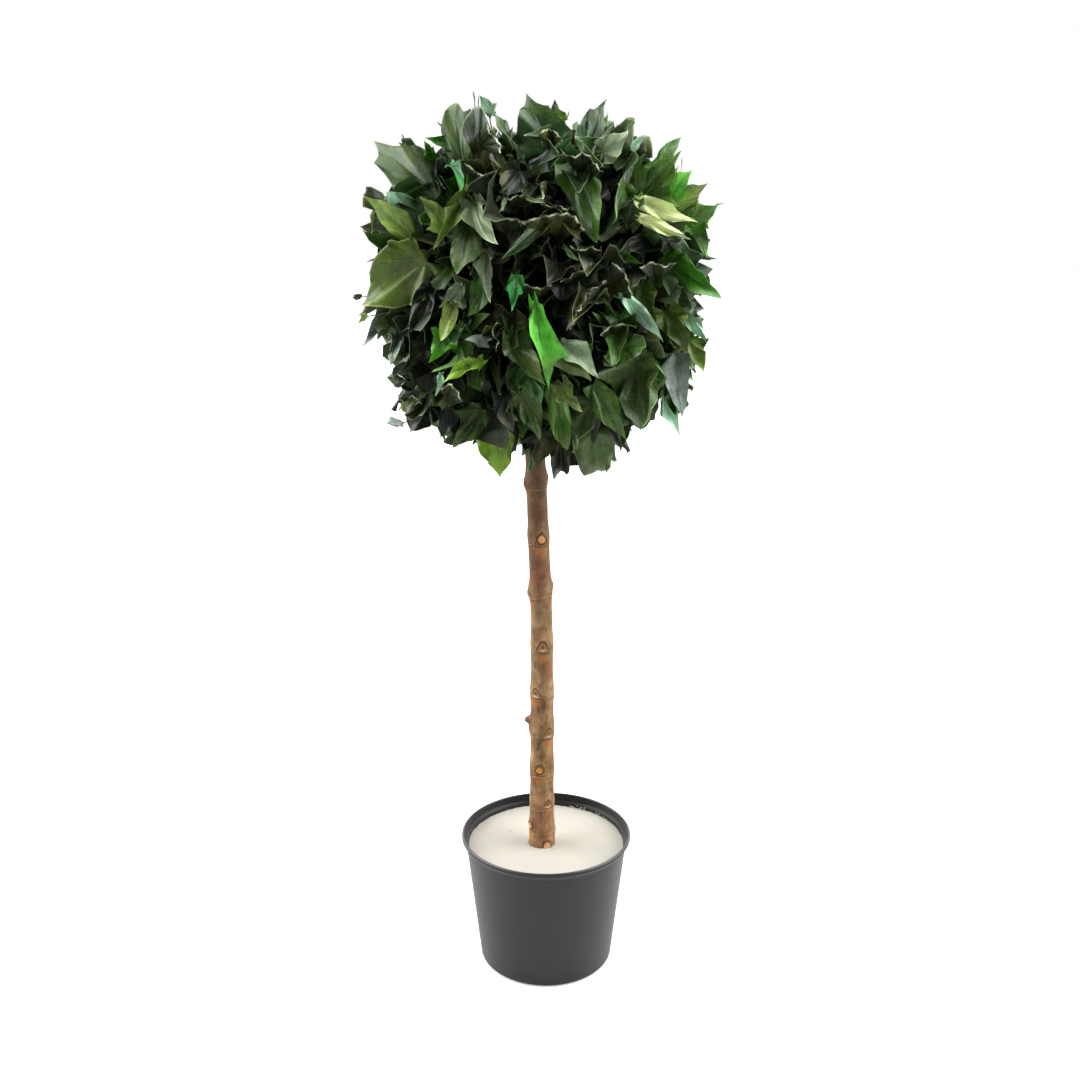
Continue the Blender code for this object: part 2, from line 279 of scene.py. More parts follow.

# Layers of scattered leaves, from the core outwards. Roots are where the stalks end, and reach is how far the
# tips go, both as shares of the ball's reach. Lean is how many degrees more a leaf leans than the source's
# rule says. The last value moves the choice of its tint: darker tints deeper in the ball and brighter ones
# outside, painted shade and light
LAYERS = {
    "cover": {
        "count": 300, "roots": (0.55, 0.66), "reach": 0.90, "lengths": (0.060, 0.084), "lean": 30,
        "kinds": ("heart", "oval", "rhomb"), "meshing": "plain", "painted_light": -0.14,
    },
    "body": {
        "count": 430, "roots": (0.60, 0.74), "reach": 0.97, "lengths": (0.062, 0.090), "lean": 2,
        "kinds": ("heart", "shield", "oval", "ruffle"), "meshing": "plain", "painted_light": -0.02,
    },
    "outer": {
        "count": 400, "roots": (0.66, 0.80), "reach": 1.02, "lengths": (0.056, 0.090), "lean": -14,
        "kinds": ("heart", "ruffle", "rhomb", "oval", "shield", "ruffle"), "meshing": "fine", "painted_light": 0.10,
    },
}
LEAF_WIDTH_SHARE = (0.46, 0.80)
LEAF_SHORTEST = 0.034
LEAN_SCATTER = 22
TURN_SCATTER = 60
ROLL_SCATTER = 65
PLACE_SCATTER = 0.06
TONE_SCATTER = 0.74
# How much brighter the leaves at the ball's foot are painted, as painted light from below, and how much
# darker those at its front, as painted shade
LOW_PAINTED_LIGHT = 0.50
FRONT_PAINTED_SHADE = -0.45
# Leaves whose stalks end further back than this can't hide a standing leaf
BACK_ROOTS = 0.10
SEED = 11
# Rims of curled leaves: pixels from wave to wave, pixels they swing to either side, and blade thickness
CURL_RIPPLE = 11.0
CURL_SWING = 1.0
CURL_THICKNESS = 0.0004

# Leaves that stand out in the picture: kind, tint, stalk end and tip as pixels of the picture, width as a
# share of length, degrees rolled about the rib, and shares of the ball's reach at the stalk and at the tip
STANDING_LEAVES = [
    ("rhomb", "sage_dark", (438, 197), (377, 141), 0.60, 0, 0.78, 1.05),
    ("rhomb", "khaki", (420, 246), (364, 195), 0.36, 15, 0.80, 1.03),
    ("heart", "mint", (420, 222), (379, 192), 0.62, 10, 0.78, 1.00),
    ("heart", "olive", (424, 262), (361, 308), 0.80, 0, 0.82, 1.02),
    ("shield", "fern", (400, 262), (362, 229), 0.75, 15, 0.74, 1.00),
    ("rhomb", "grass", (458, 141), (423, 137), 0.55, 0, 0.84, 1.00),
    ("rhomb", "grass", (436, 164), (422, 141), 0.60, 10, 0.84, 1.00),
    ("oval", "sage_dark", (464, 160), (457, 104), 0.46, -20, 0.84, 1.01),
    ("oval", "bottle", (481, 170), (474, 106), 0.45, 35, 0.80, 1.00),
    ("halberd", "mint", (490, 118), (479, 96), 0.80, 0, 0.92, 1.02),
    ("shield", "forest", (545, 152), (527, 96), 0.98, 5, 0.78, 1.00),
    ("heart", "bottle", (520, 172), (502, 190), 1.05, 0, 0.83, 0.93),
    ("lance", "bottle", (505, 172), (489, 150), 0.50, 20, 0.84, 0.93),
    ("halberd", "emerald", (453, 163), (461, 192), 0.62, 0, 0.88, 0.99),
    ("five", "khaki", (442, 223), (419, 198), 0.85, 0, 0.90, 1.02),
    ("ruffle", "olive", (464, 200), (434, 247), 0.38, -10, 0.86, 0.98),
    ("oval", "sage_dark", (470, 226), (458, 276), 0.56, 0, 0.86, 1.01),
    ("heart", "silver", (475, 205), (498, 242), 0.66, 5, 0.86, 0.99),
    ("oval", "forest", (552, 214), (503, 258), 0.22, 10, 0.84, 1.00),
    ("rhomb", "forest", (587, 160), (608, 101), 0.62, -12, 0.80, 1.00),
    ("lance", "grass", (565, 120), (557, 104), 0.50, 0, 0.92, 0.98),
    ("heart", "silver", (604, 153), (628, 130), 0.80, -15, 0.88, 1.00),
    ("five", "moss", (640, 197), (681, 151), 0.95, 0, 0.82, 1.03),
    ("lance", "fern", (655, 168), (679, 138), 0.30, 0, 0.86, 1.01),
    ("rhomb", "lime", (667, 201), (691, 169), 0.62, 0, 0.86, 1.01),
    ("rhomb", "khaki", (673, 208), (707, 184), 0.50, -10, 0.88, 1.03),
    ("halberd", "fern", (690, 220), (720, 204), 0.75, 10, 0.86, 1.02),
    ("heart", "cream_green", (641, 203), (698, 224), 0.25, 0, 0.93, 1.05),
    ("oval", "cream_green", (640, 218), (690, 238), 0.22, 0, 0.94, 1.05),
    ("oval", "moss", (573, 160), (597, 243), 0.40, 12, 0.85, 0.97),
    ("oval", "forest", (626, 162), (606, 228), 0.40, -35, 0.80, 0.94),
    ("heart", "forest", (627, 222), (641, 193), 0.80, 0, 0.85, 0.96),
    ("rhomb", "fern", (688, 226), (709, 260), 0.60, -10, 0.86, 1.02),
    ("heart", "blackgreen", (664, 238), (614, 256), 0.52, -8, 0.80, 0.90),
    ("shield", "grass", (666, 256), (721, 299), 0.62, 10, 0.82, 1.05),
    ("heart", "blackgreen", (434, 292), (411, 331), 0.66, 0, 0.80, 0.94),
    ("rhomb", "silver", (463, 287), (440, 307), 0.50, 20, 0.90, 1.01),
    ("oval", "khaki", (452, 300), (441, 339), 0.34, 0, 0.94, 1.03),
    ("heart", "moss", (485, 287), (467, 317), 0.66, 10, 0.86, 0.98),
    ("rhomb", "emerald", (517, 274), (510, 310), 0.48, 0, 0.90, 1.01),
    ("five", "grass", (447, 335), (426, 363), 0.85, 0, 0.88, 1.01),
    ("shield", "slate_silver", (487, 344), (463, 340), 0.70, 0, 0.88, 0.98),
    ("lance", "yellow_lime", (484, 362), (441, 383), 0.22, 25, 0.90, 1.02),
    ("heart", "moss", (456, 331), (469, 371), 0.55, 15, 0.85, 0.97),
    ("heart", "sage_dark", (512, 337), (546, 384), 0.46, -25, 0.88, 1.00),
    ("sickle", "lime", (535, 301), (549, 387), 0.36, 0, 0.87, 0.965),
    ("halberd", "slate_silver", (397, 333), (388, 368), 0.50, 0, 0.84, 1.02),
    ("five", "slate_silver", (394, 314), (358, 345), 0.62, 10, 0.80, 1.03),
    ("five", "blackgreen", (427, 342), (401, 373), 0.72, 0, 0.84, 1.00),
    ("heart", "blackgreen", (433, 407), (410, 436), 0.72, 0, 0.88, 1.04),
    ("oval", "slate_silver", (404, 424), (389, 419), 0.62, 0, 0.97, 1.00),
    ("lance", "mint", (442, 372), (436, 395), 0.26, 0, 0.94, 1.01),
    ("shield", "sage_dark", (481, 411), (452, 451), 0.66, 0, 0.84, 1.00),
    ("rhomb", "yellow_lime", (490, 424), (501, 475), 0.70, 0, 0.82, 1.00),
    ("heart", "slate", (507, 396), (511, 431), 0.60, 20, 0.86, 0.99),
    ("heart", "sage_dark", (522, 393), (541, 441), 0.52, 0, 0.88, 1.01),
    ("shield", "forest", (531, 372), (541, 406), 0.90, 0, 0.90, 1.01),
    ("rhomb", "silver", (562, 342), (598, 376), 0.56, -15, 0.94, 1.03),
    ("shield", "moss", (620, 320), (612, 366), 0.92, 10, 0.86, 1.00),
    ("shield", "bottle", (612, 282), (566, 329), 0.46, 35, 0.82, 0.98),
    ("lance", "mint", (623, 293), (662, 343), 0.24, 0, 0.92, 1.04),
    ("rhomb", "mint", (684, 309), (706, 344), 0.42, 0, 0.88, 1.03),
    ("heart", "moss", (640, 288), (656, 323), 0.70, 0, 0.84, 0.96),
    ("shield", "olive", (666, 311), (690, 352), 0.80, 0, 0.87, 1.02),
    ("halberd", "khaki", (688, 335), (705, 371), 0.74, 0, 0.84, 1.00),
    ("lance", "slate_silver", (672, 351), (680, 416), 0.38, -10, 0.84, 1.01),
    ("shield", "sage_dark", (632, 360), (643, 431), 0.92, 8, 0.84, 1.03),
    ("rhomb", "mint", (662, 397), (681, 437), 0.40, 0, 0.84, 1.00),
    ("rhomb", "forest", (668, 384), (676, 415), 0.62, 0, 0.83, 0.98),
    ("lance", "moss", (592, 387), (627, 440), 0.32, 0, 0.88, 1.02),
    ("heart", "olive", (564, 384), (583, 411), 0.62, 15, 0.91, 1.02),
    ("ruffle", "sage", (592, 428), (600, 472), 0.95, 0, 0.84, 1.00),
    ("heart", "sage_dark", (591, 401), (577, 448), 0.60, 15, 0.86, 0.99),
    ("heart", "blackgreen", (603, 411), (617, 462), 0.62, 0, 0.84, 0.98),
    ("oval", "moss", (552, 384), (567, 452), 0.30, 0, 0.88, 1.01),
    ("heart", "blackgreen", (561, 438), (560, 475), 0.55, 0, 0.84, 0.97),
    ("shield", "blackgreen", (541, 430), (539, 468), 0.95, 0, 0.84, 0.98),
    ("lance", "slate_silver", (412, 372), (393, 378), 0.50, 20, 0.86, 1.00),
    ("lance", "slate_silver", (415, 380), (395, 388), 0.45, -20, 0.88, 1.02),
    ("lance", "slate_silver", (418, 390), (402, 398), 0.50, 10, 0.90, 1.00),
    ("rhomb", "slate", (452, 408), (440, 437), 0.60, 0, 0.86, 1.00),
    ("rhomb", "slate_silver", (694, 304), (699, 323), 0.55, 20, 0.90, 1.00),
    ("lance", "khaki", (367, 316), (357, 322), 0.50, 0, 0.97, 1.01),
    ("lance", "blackgreen", (362, 297), (351, 297), 0.50, 0, 0.98, 1.02),
    ("rhomb", "mint", (634, 149), (646, 133), 0.40, 0, 0.96, 1.04),
    ("lance", "blackgreen", (562, 214), (583, 243), 0.46, -10, 0.84, 0.97),
    ("lance", "forest", (563, 246), (579, 260), 0.28, 0, 0.88, 0.95),
    ("lance", "silver", (486, 250), (489, 302), 0.34, 15, 0.84, 0.98),
    ("lance", "sage", (523, 194), (546, 204), 0.20, 0, 0.94, 1.00),
    ("lance", "sage", (546, 182), (543, 202), 0.22, 0, 0.94, 1.00),
    ("lance", "sage", (508, 196), (500, 212), 0.24, 0, 0.94, 1.01),
    ("lance", "grass", (617, 252), (642, 262), 0.34, 0, 0.88, 0.98),
    ("ruffle", "blackgreen", (533, 224), (520, 250), 0.90, 0, 0.78, 0.90),
    ("ruffle", "blackgreen", (560, 262), (548, 284), 1.60, 0, 0.82, 0.96),
    ("ruffle", "bottle", (604, 262), (586, 274), 2.00, 40, 0.80, 0.97),
    ("ruffle", "olive_dark", (600, 290), (572, 322), 0.90, 20, 0.82, 0.98),
    ("ruffle", "blackgreen", (500, 214), (520, 222), 2.20, 50, 0.80, 0.96),
    ("ruffle", "blackgreen", (545, 206), (560, 212), 2.60, 40, 0.82, 0.97),
    ("ruffle", "blackgreen", (632, 268), (628, 288), 1.10, 40, 0.80, 0.96),
    ("ruffle", "blackgreen", (492, 316), (500, 334), 1.60, 30, 0.78, 0.92),
    ("ruffle", "bottle", (514, 322), (521, 346), 1.30, 30, 0.82, 0.96),
    ("ruffle", "fir", (584, 178), (580, 190), 2.40, 30, 0.82, 0.98),
    ("ruffle", "fir", (548, 146), (560, 152), 3.00, 30, 0.84, 0.99),
    ("ruffle", "forest", (590, 152), (600, 166), 1.80, 30, 0.84, 0.98),
    ("ruffle", "forest", (460, 330), (452, 342), 1.80, 30, 0.82, 0.96),
    ("ruffle", "bottle", (590, 326), (590, 344), 1.70, 30, 0.82, 0.96),
    ("ruffle", "moss", (622, 348), (632, 362), 2.40, 0, 0.88, 0.99),
]

# Curled leaves seen edge on: their wavy rim and their stalk end as pixels of the picture, and shares of the
# ball's reach at the stalk and at the rim
CURLED_LEAVES = [
    ([(464, 163), (472, 168), (479, 174), (488, 174)], (478, 190), 0.78, 0.95),
    (
        [(560, 149), (567, 155), (575, 156), (584, 153), (591, 158), (597, 166), (603, 172)],
        (584, 176), 0.80, 0.99,
    ),
    ([(502, 211), (504, 202), (513, 197), (524, 194)], (522, 214), 0.76, 0.96),
    ([(521, 191), (529, 197), (537, 201), (544, 196), (540, 188), (546, 180)], (530, 182), 0.78, 0.97),
    ([(541, 203), (550, 206), (560, 206), (568, 210)], (556, 228), 0.74, 0.95),
    ([(487, 215), (500, 217), (514, 219), (525, 222)], (512, 240), 0.74, 0.94),
    ([(522, 223), (538, 217), (555, 214), (570, 214), (580, 222), (585, 231)], (556, 244), 0.74, 0.96),
    ([(612, 262), (621, 269), (627, 277), (630, 287), (632, 299)], (606, 290), 0.78, 0.98),
    (
        [(606, 280), (600, 286), (591, 290), (586, 298), (581, 309), (576, 315), (570, 330)],
        (566, 300), 0.76, 0.97,
    ),
    ([(592, 263), (586, 270), (576, 272), (570, 277), (560, 282)], (582, 292), 0.74, 0.95),
    ([(600, 335), (611, 326), (627, 324)], (616, 344), 0.80, 0.97),
    ([(487, 120), (490, 132), (500, 143), (501, 153)], (480, 146), 0.82, 0.99),
    ([(538, 134), (548, 129), (558, 134), (562, 141)], (550, 152), 0.82, 0.99),
    ([(512, 288), (524, 284), (538, 288), (552, 284)], (532, 306), 0.72, 0.92),
    ([(497, 322), (492, 332), (498, 342), (495, 352)], (508, 336), 0.78, 0.95),
    ([(447, 300), (454, 306), (451, 316), (457, 326)], (462, 310), 0.80, 0.97),
    ([(398, 374), (405, 380), (401, 388), (409, 392)], (418, 378), 0.84, 1.02),
    ([(397, 398), (405, 402), (413, 396), (421, 404)], (416, 388), 0.84, 1.02),
    ([(403, 414), (412, 420), (424, 412), (432, 400)], (430, 392), 0.84, 1.02),
    ([(441, 389), (450, 384), (458, 392), (462, 402)], (448, 404), 0.82, 0.99),
    ([(640, 268), (652, 262), (664, 266), (676, 262)], (656, 282), 0.80, 0.98),
    ([(570, 246), (580, 250), (592, 247), (602, 252)], (584, 264), 0.74, 0.94),
]

# Notches in the ball's outline, where no scattered leaf reaches: middle and radius as pixels of the picture
NOTCHES = [
    ((652, 442), 14), ((634, 448), 9), ((380, 386), 11), ((374, 370), 9), ((390, 358), 8), ((714, 310), 10),
    ((718, 328), 10), ((708, 338), 6), ((712, 226), 8), ((714, 248), 10), ((710, 272), 9), ((513, 104), 12),
    ((506, 120), 7), ((469, 457), 11), ((583, 102), 12), ((358, 272), 9), ((434, 441), 9), ((378, 156), 9),
    ((414, 138), 8), ((376, 187), 7), ((688, 186), 8), ((551, 472), 8), ((687, 402), 9), ((621, 118), 7),
    ((672, 149), 7), ((366, 218), 8), ((442, 113), 8), ((505, 466), 8), ((434, 144), 6), ((384, 400), 11),
    ((592, 104), 9), ((574, 110), 8), ((368, 342), 8), ((512, 456), 8), ((513, 470), 9), ((545, 465), 7),
    ((706, 238), 6), ((634, 134), 6), ((700, 330), 6), ((390, 393), 9), ((360, 284), 7), ((353, 260), 6),
]

# Dry spikes and buds that stand out past the leaves: foot and tip in the picture, and radius in millimetres
SPIKES = [
    ((474, 116), (473, 91), 0.9),
    ((409, 152), (402, 134), 0.9),
    ((480, 118), (479, 95), 0.6),
    ((564, 122), (569, 111), 0.6),
    ((626, 134), (635, 121), 0.9),
    ((624, 148), (628, 136), 0.7),
    ((681, 172), (682, 157), 0.5),
    ((372, 202), (363, 194), 0.7),
    ((712, 209), (724, 203), 0.5),
    ((690, 211), (711, 219), 0.6),
    ((671, 412), (681, 436), 0.6),
    ((657, 414), (671, 429), 0.5),
    ((455, 444), (461, 452), 0.6),
    ((512, 455), (515, 462), 0.6),
    ((399, 387), (393, 396), 0.6),
]
# A spike's swelling towards its tip: share of its length, and share of its radius
SPIKE_SHAPE = [(0, 0.7), (0.3, 0.6), (0.55, 0.6), (0.7, 1.1), (0.85, 0.95), (0.95, 0.5), (1.0, 0.12)]

# Dark grit in the plaster: where it is seen in the picture, and its radius
GRIT = [
    ((487, 823), 0.0010),
    ((510, 831), 0.0013),
    ((521, 816), 0.0007),
    ((578, 807), 0.0009),
    ((597, 829), 0.0006),
]


# Small helpers


def linear(code):
    """Linear RGBA of an sRGB hex colour."""
    channels = [int(code[i : i + 2], 16) / 255 for i in (1, 3, 5)]
    return (*[c / 12.92 if c <= 0.04045 else ((c + 0.055) / 1.055) ** 2.4 for c in channels], 1.0)


def blended(first, second, share):
    """The sRGB hex colour a share of the way from one to another."""
    pairs = [(int(first[i : i + 2], 16), int(second[i : i + 2], 16)) for i in (1, 3, 5)]
    return "#" + "".join(f"{round(a + (b - a) * share):02x}" for a, b in pairs)


def feed(node, inputs):
    """Sets or links inputs by name or number. A node given as a value stands for its first output in use."""
    for key, value in inputs.items():
        if isinstance(value, bpy.types.Node):
            value = next(socket for socket in value.outputs if socket.enabled)
        if isinstance(value, bpy.types.NodeSocket):
            node.id_data.links.new(value, node.inputs[key])
        else:
            node.inputs[key].default_value = value


def add(tree, kind, inputs=None, **settings):
    """Adds a node with its settings and inputs."""
    node = tree.nodes.new(kind)
    for name, value in settings.items():
        setattr(node, name, value)
    feed(node, inputs or {})
    return node


def new_material(name, **values):
    """A material's tree and its shader, with constant values on the shader's own sockets."""
    material = bpy.data.materials.new(name)
    material.use_nodes = True
    shader = material.node_tree.nodes["Principled BSDF"]
    for key, value in values.items():
        shader.inputs[key.replace("_", " ")].default_value = value
    return material, material.node_tree, shader


def patched(tree, colour, noise_inputs, low, high, most, tone):
    """A colour with soft patches of a tone on it, where a noise rises from low to high."""
    patch = add(tree, "ShaderNodeTexNoise", noise_inputs)
    rise = {"Value": patch, "From Min": low, "From Max": high, "To Max": most}
    share = add(tree, "ShaderNodeMapRange", rise)
    return add(tree, "ShaderNodeMix", {"Factor": share, "A": colour, "B": linear(tone)}, data_type="RGBA")


def roughened(tree, shader, place, scale, detail, strength, distance):
    """Gives a shader a fine grain in its normals."""
    grain = add(tree, "ShaderNodeTexNoise", {"Vector": place, "Scale": scale, "Detail": detail})
    bump = add(tree, "ShaderNodeBump", {"Height": grain, "Strength": strength, "Distance": distance})
    feed(shader, {"Normal": bump})


def new_object(name, verts, faces=(), materials=(), edges=(), smooth=True):
    """An object at the origin from points, and faces or edges between them."""
    mesh = bpy.data.meshes.new(name)
    mesh.from_pydata(verts, edges, faces)
    mesh.update()
    for material in materials:
        mesh.materials.append(material)
    if smooth:
        mesh.shade_smooth()
    obj = bpy.data.objects.new(name, mesh)
    bpy.context.scene.collection.objects.link(obj)
    return obj


def attach(mesh, label, kind, values, domain="POINT"):
    """Gives every point or face of a mesh a value of its own."""
    field = "vector" if kind == "FLOAT_VECTOR" else "value"
    mesh.attributes.new(label, kind, domain).data.foreach_set(field, values)


def turn_outwards(mesh):
    """Turns the faces of a closed mesh to point outwards."""
    bm = bmesh.new()
    bm.from_mesh(mesh)
    bmesh.ops.recalc_face_normals(bm, faces=bm.faces)
    bm.to_mesh(mesh)
    bm.free()


def tube_faces(rings, sides):
    """Faces of a closed tube. Its points are one end, rings of as many points as sides, and the other end."""
    faces = []
    top = 1 + (rings - 1) * sides
    for side in range(sides):
        after = (side + 1) % sides
        faces.append((0, 1 + after, 1 + side))
        for low in range(1, top, sides):
            faces.append((low + side, low + after, low + sides + after, low + sides + side))
        faces.append((top + side, top + after, top + sides))
    return faces


def level_ring(middle, radius, sides):
    """Points of a level circle round a middle."""
    turns = [math.tau * side / sides for side in range(sides)]
    return [(middle[0] + radius * math.cos(t), middle[1] + radius * math.sin(t), middle[2]) for t in turns]


def rings_mesh(name, rings, sides, materials):
    """A closed surface through level rings of (centre, radius), with a point at each end."""
    verts = [tuple(rings[0][0])]
    for middle, radius in rings:
        verts += level_ring(middle, radius, sides)
    verts.append(tuple(rings[-1][0]))
    obj = new_object(name, verts, tube_faces(len(rings), sides), materials)
    turn_outwards(obj.data)
    return obj


def belongs(obj, node):
    """Says which body a piece rides on, and hides the CAD node that it stands for."""
    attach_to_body(obj, BODY)
    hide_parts(node)


def grow(obj, tree, values):
    """Runs a Geometry Nodes tree on an object and keeps its result as a plain mesh."""
    modifier = obj.modifiers.new(tree.name, "NODES")
    modifier.node_group = tree
    for item in tree.interface.items_tree:
        if item.item_type == "SOCKET" and item.in_out == "INPUT" and item.name in values:
            modifier[item.identifier] = values[item.name]
    bpy.context.view_layer.update()
    evaluated = obj.evaluated_get(bpy.context.evaluated_depsgraph_get())
    mesh = bpy.data.meshes.new_from_object(evaluated)
    obj.modifiers.clear()
    obj.data = mesh
    mesh.name = obj.name
    if not mesh.polygons:
        raise RuntimeError(f"{obj.name} came out empty")


def new_tree(name, sockets):
    """A Geometry Nodes tree with named inputs: (name, kind, default)."""
    tree = bpy.data.node_groups.new(name, "GeometryNodeTree")
    tree.interface.new_socket("Geometry", in_out="OUTPUT", socket_type="NodeSocketGeometry")
    tree.interface.new_socket("Geometry", in_out="INPUT", socket_type="NodeSocketGeometry")
    for label, kind, default in sockets:
        socket = tree.interface.new_socket(label, in_out="INPUT", socket_type=f"NodeSocket{kind}")
        if default is not None:
            socket.default_value = default
    return tree, tree.nodes.new("NodeGroupInput"), tree.nodes.new("NodeGroupOutput")


# Shapes that the source also has


def pot_wall_radius(height):
    """Outer radius of the pot's tapered wall."""
    share = height / (POT_HEIGHT - LIP_DEPTH - FLARE_DEPTH)
    return POT_FOOT_RADIUS + (POT_NECK_RADIUS - POT_FOOT_RADIUS) * share


def trunk_middle(height):
    """Centre of the trunk: upright from the plaster, then leaning to the left past a soft bend."""
    above = max(0.0, height - LEAN_START)
    run = above * above / (2 * LEAN_BEND) if above < LEAN_BEND else above - LEAN_BEND / 2
    return Vector((TRUNK_PLACE.x - math.tan(TRUNK_LEAN) * run, TRUNK_PLACE.y, height))


def trunk_radius(height):
    """Taper of the trunk, with a slight swelling at each bud scar."""
    if height < TRUNK_NECK:
        share = (height - TRUNK_FOOT) / (TRUNK_NECK - TRUNK_FOOT)
        radius = TRUNK_FOOT_RADIUS + (TRUNK_NECK_RADIUS - TRUNK_FOOT_RADIUS) * share
    else:
        share = (height - TRUNK_NECK) / (TRUNK_TIP - TRUNK_NECK)
        radius = TRUNK_NECK_RADIUS + (TRUNK_TIP_RADIUS - TRUNK_NECK_RADIUS) * share
    swell = max(math.exp(-(((height - scar[0]) / NODE_SPREAD) ** 2)) for scar in BUD_SCARS)
    return radius + NODE_SWELL * swell


def ball_reach(direction):
    """How far the clipped ball reaches in a direction from its centre."""
    flat = math.hypot(direction.x, direction.y) ** BALL_SQUARENESS
    upright = abs(direction.z) ** BALL_SQUARENESS
    return BALL_REACH / (flat + upright) ** (1 / BALL_SQUARENESS)


def leaf_lean(height_share):
    """Degrees that a leaf leans away from the radius, from the ball's foot (-1) to its top (1)."""
    far = LEAN_TOP if height_share > 0 else LEAN_FOOT
    return LEAN_SIDE + (far - LEAN_SIDE) * abs(height_share)


def clear_of_trunk(point):
    """Whether a point keeps its distance from the trunk."""
    away = Vector((point.x, point.y)) - trunk_middle(point.z).xy
    return away.length > trunk_radius(point.z) + TRUNK_ROOM


# Looking through the camera


def sight(pixel):
    """Direction from the camera through a pixel of the picture."""
    across = (pixel[0] - PHOTO_SIDE / 2) / FOCAL_PIXELS
    up = (PHOTO_SIDE / 2 - pixel[1]) / FOCAL_PIXELS
    return (CAMERA_AHEAD + Vector((1, 0, 0)) * across + CAMERA_UP * up).normalized()


def seen_at(point):
    """Pixel of the picture where a point is seen, and its distance from the camera."""
    away = point - CAMERA_PLACE
    depth = away.dot(CAMERA_AHEAD)
    half = PHOTO_SIDE / 2
    return half + FOCAL_PIXELS * away.x / depth, half - FOCAL_PIXELS * away.dot(CAMERA_UP) / depth, depth


def on_ball(pixel, share):
    """Where a line of sight first meets the ball shrunk to a share of its reach, or passes nearest to it."""
    ray = sight(pixel)
    start = (BALL_CENTRE - CAMERA_PLACE).length - SEARCH_AHEAD
    nearest = None
    for step in range(SEARCH_STEPS):
        spot = CAMERA_PLACE + ray * (start + SEARCH_STEP * step) - BALL_CENTRE
        inside = spot.length / ball_reach(spot.normalized())
        if inside <= share:
            return BALL_CENTRE + spot
        if nearest is None or inside < nearest[0]:
            nearest = (inside, spot)
    return BALL_CENTRE + nearest[1]


# Finishes


def leaf_finishes(tint):
    """Face, underside, margin and vein of a preserved ivy leaf: waxy and satin, with a paler cut edge that is
    partly a painted highlight.
    """
    face = TINTS[tint]
    gloss = DARK_GLOSS if tint in ("blackgreen", "slate") else LEAF_GLOSS
    finishes = []
    for part, colour, roughness in (
        ("face", face, 0.33),
        ("underside", blended(face, "#7f8f62", 0.18), 0.5),
        ("margin", blended(face, "#d3dab4", CURLED_MARGIN_SHARE if tint == "curled" else MARGIN_SHARE), 0.40),
        ("vein", blended(face, "#c3cfa0", 0.20), 0.42),
    ):
        name = f"leaf_{tint}_{part}"
        material, tree, shader = new_material(name, Roughness=roughness, Specular_IOR_Level=gloss)
        place = add(tree, "ShaderNodeTexCoord").outputs["Object"]
        colour = linear(colour)
        # Mottling about 15 to 40 mm across: partly the olive and dark patches that glycerine leaves in a
        # preserved leaf, partly painted light and shade across each leaf
        for scale, low, high, most, tone in (
            (30.0, 0.50, 0.68, 0.26, "#6e6b30"),
            (24.0, 0.44, 0.66, 0.62, "#070b06"),
            (70.0, 0.52, 0.68, 0.36, "#070b06"),
        ):
            mottle = {"Vector": place, "Scale": scale, "Detail": 3.0}
            colour = patched(tree, colour, mottle, low, high, most, tone)
        # Net of small veins, 5 mm apart, coarser than life so that it shows
        net = add(tree, "ShaderNodeTexVoronoi", {"Vector": place, "Scale": 200.0}, feature="DISTANCE_TO_EDGE")
        fade = {"Value": net, "From Min": 0.02, "From Max": 0.14, "To Min": 0.14, "To Max": 0.0}
        line = add(tree, "ShaderNodeMapRange", fade)
        netted = {"Factor": line, "A": colour, "B": linear(blended(face, "#c3cfa0", 0.4))}
        colour = add(tree, "ShaderNodeMix", netted, data_type="RGBA")
        # Each leaf has its own tone, and all are painted darker towards the core and brighter outside:
        # painted shade among the leaves and painted light on their tips
        away = add(tree, "ShaderNodeVectorMath", {0: place, 1: BALL_CENTRE}, operation="DISTANCE")
        fade = {"Value": away, "From Min": 0.150, "From Max": 0.240, "To Min": 0.24, "To Max": 2.50}
        depth = add(tree, "ShaderNodeMapRange", fade)
        tone = add(tree, "ShaderNodeAttribute", attribute_name="tone").outputs["Fac"]
        shade = add(tree, "ShaderNodeMath", {0: depth, 1: tone}, operation="MULTIPLY")
        colour_with_painted_light = add(tree, "ShaderNodeVectorMath", {0: colour, "Scale": shade}, operation="SCALE")
        feed(shader, {"Base Color": colour_with_painted_light})
        roughened(tree, shader, place, 330.0, 2.0, 0.25, 0.0006)
        finishes.append(material)
    return finishes


# Leaf forms


def line_point(points, share):
    """Point at a share of the way along a smooth line through points."""
    place = share * (len(points) - 1)
    index = min(int(place), len(points) - 2)
    t = place - index
    first, second = Vector(points[index]), Vector(points[index + 1])
    before = Vector(points[index - 1]) if index > 0 else 2 * first - second
    after = Vector(points[index + 2]) if index + 2 < len(points) else 2 * second - first
    return 0.5 * (
        2 * first
        + (second - before) * t
        + (2 * before - 5 * first + 4 * second - after) * t * t
        + (3 * first - before - 3 * second + after) * t**3
    )


def half_columns(kind, between, veined, wide, dice):
    """Rays from the stalk to half an outline: end point, side of the vein it flanks, share between veins."""
    points, veins = OUTLINES[kind]
    points = [(x * wide * dice.uniform(0.94, 1.06), y + dice.uniform(-0.012, 0.012)) for x, y in points]
    points[-1] = (0, 1)
    stops = [0, *veins, len(points) - 1]
    columns = []
    for start, stop in zip(stops, stops[1:]):
        part = points[start : stop + 1]
        for index in range(between):
            share = (index + 1) / (between + 1)
            end = line_point(part, share)
            columns.append((end.x, end.y, 0, share))
        if veined:
            columns.append((*points[stop], -1, 0.0))
            if stop != len(points) - 1:
                columns.append((*points[stop], 1, 0.0))
        elif stop != len(points) - 1:
            columns.append((*points[stop], 0, 0.0))
    return columns


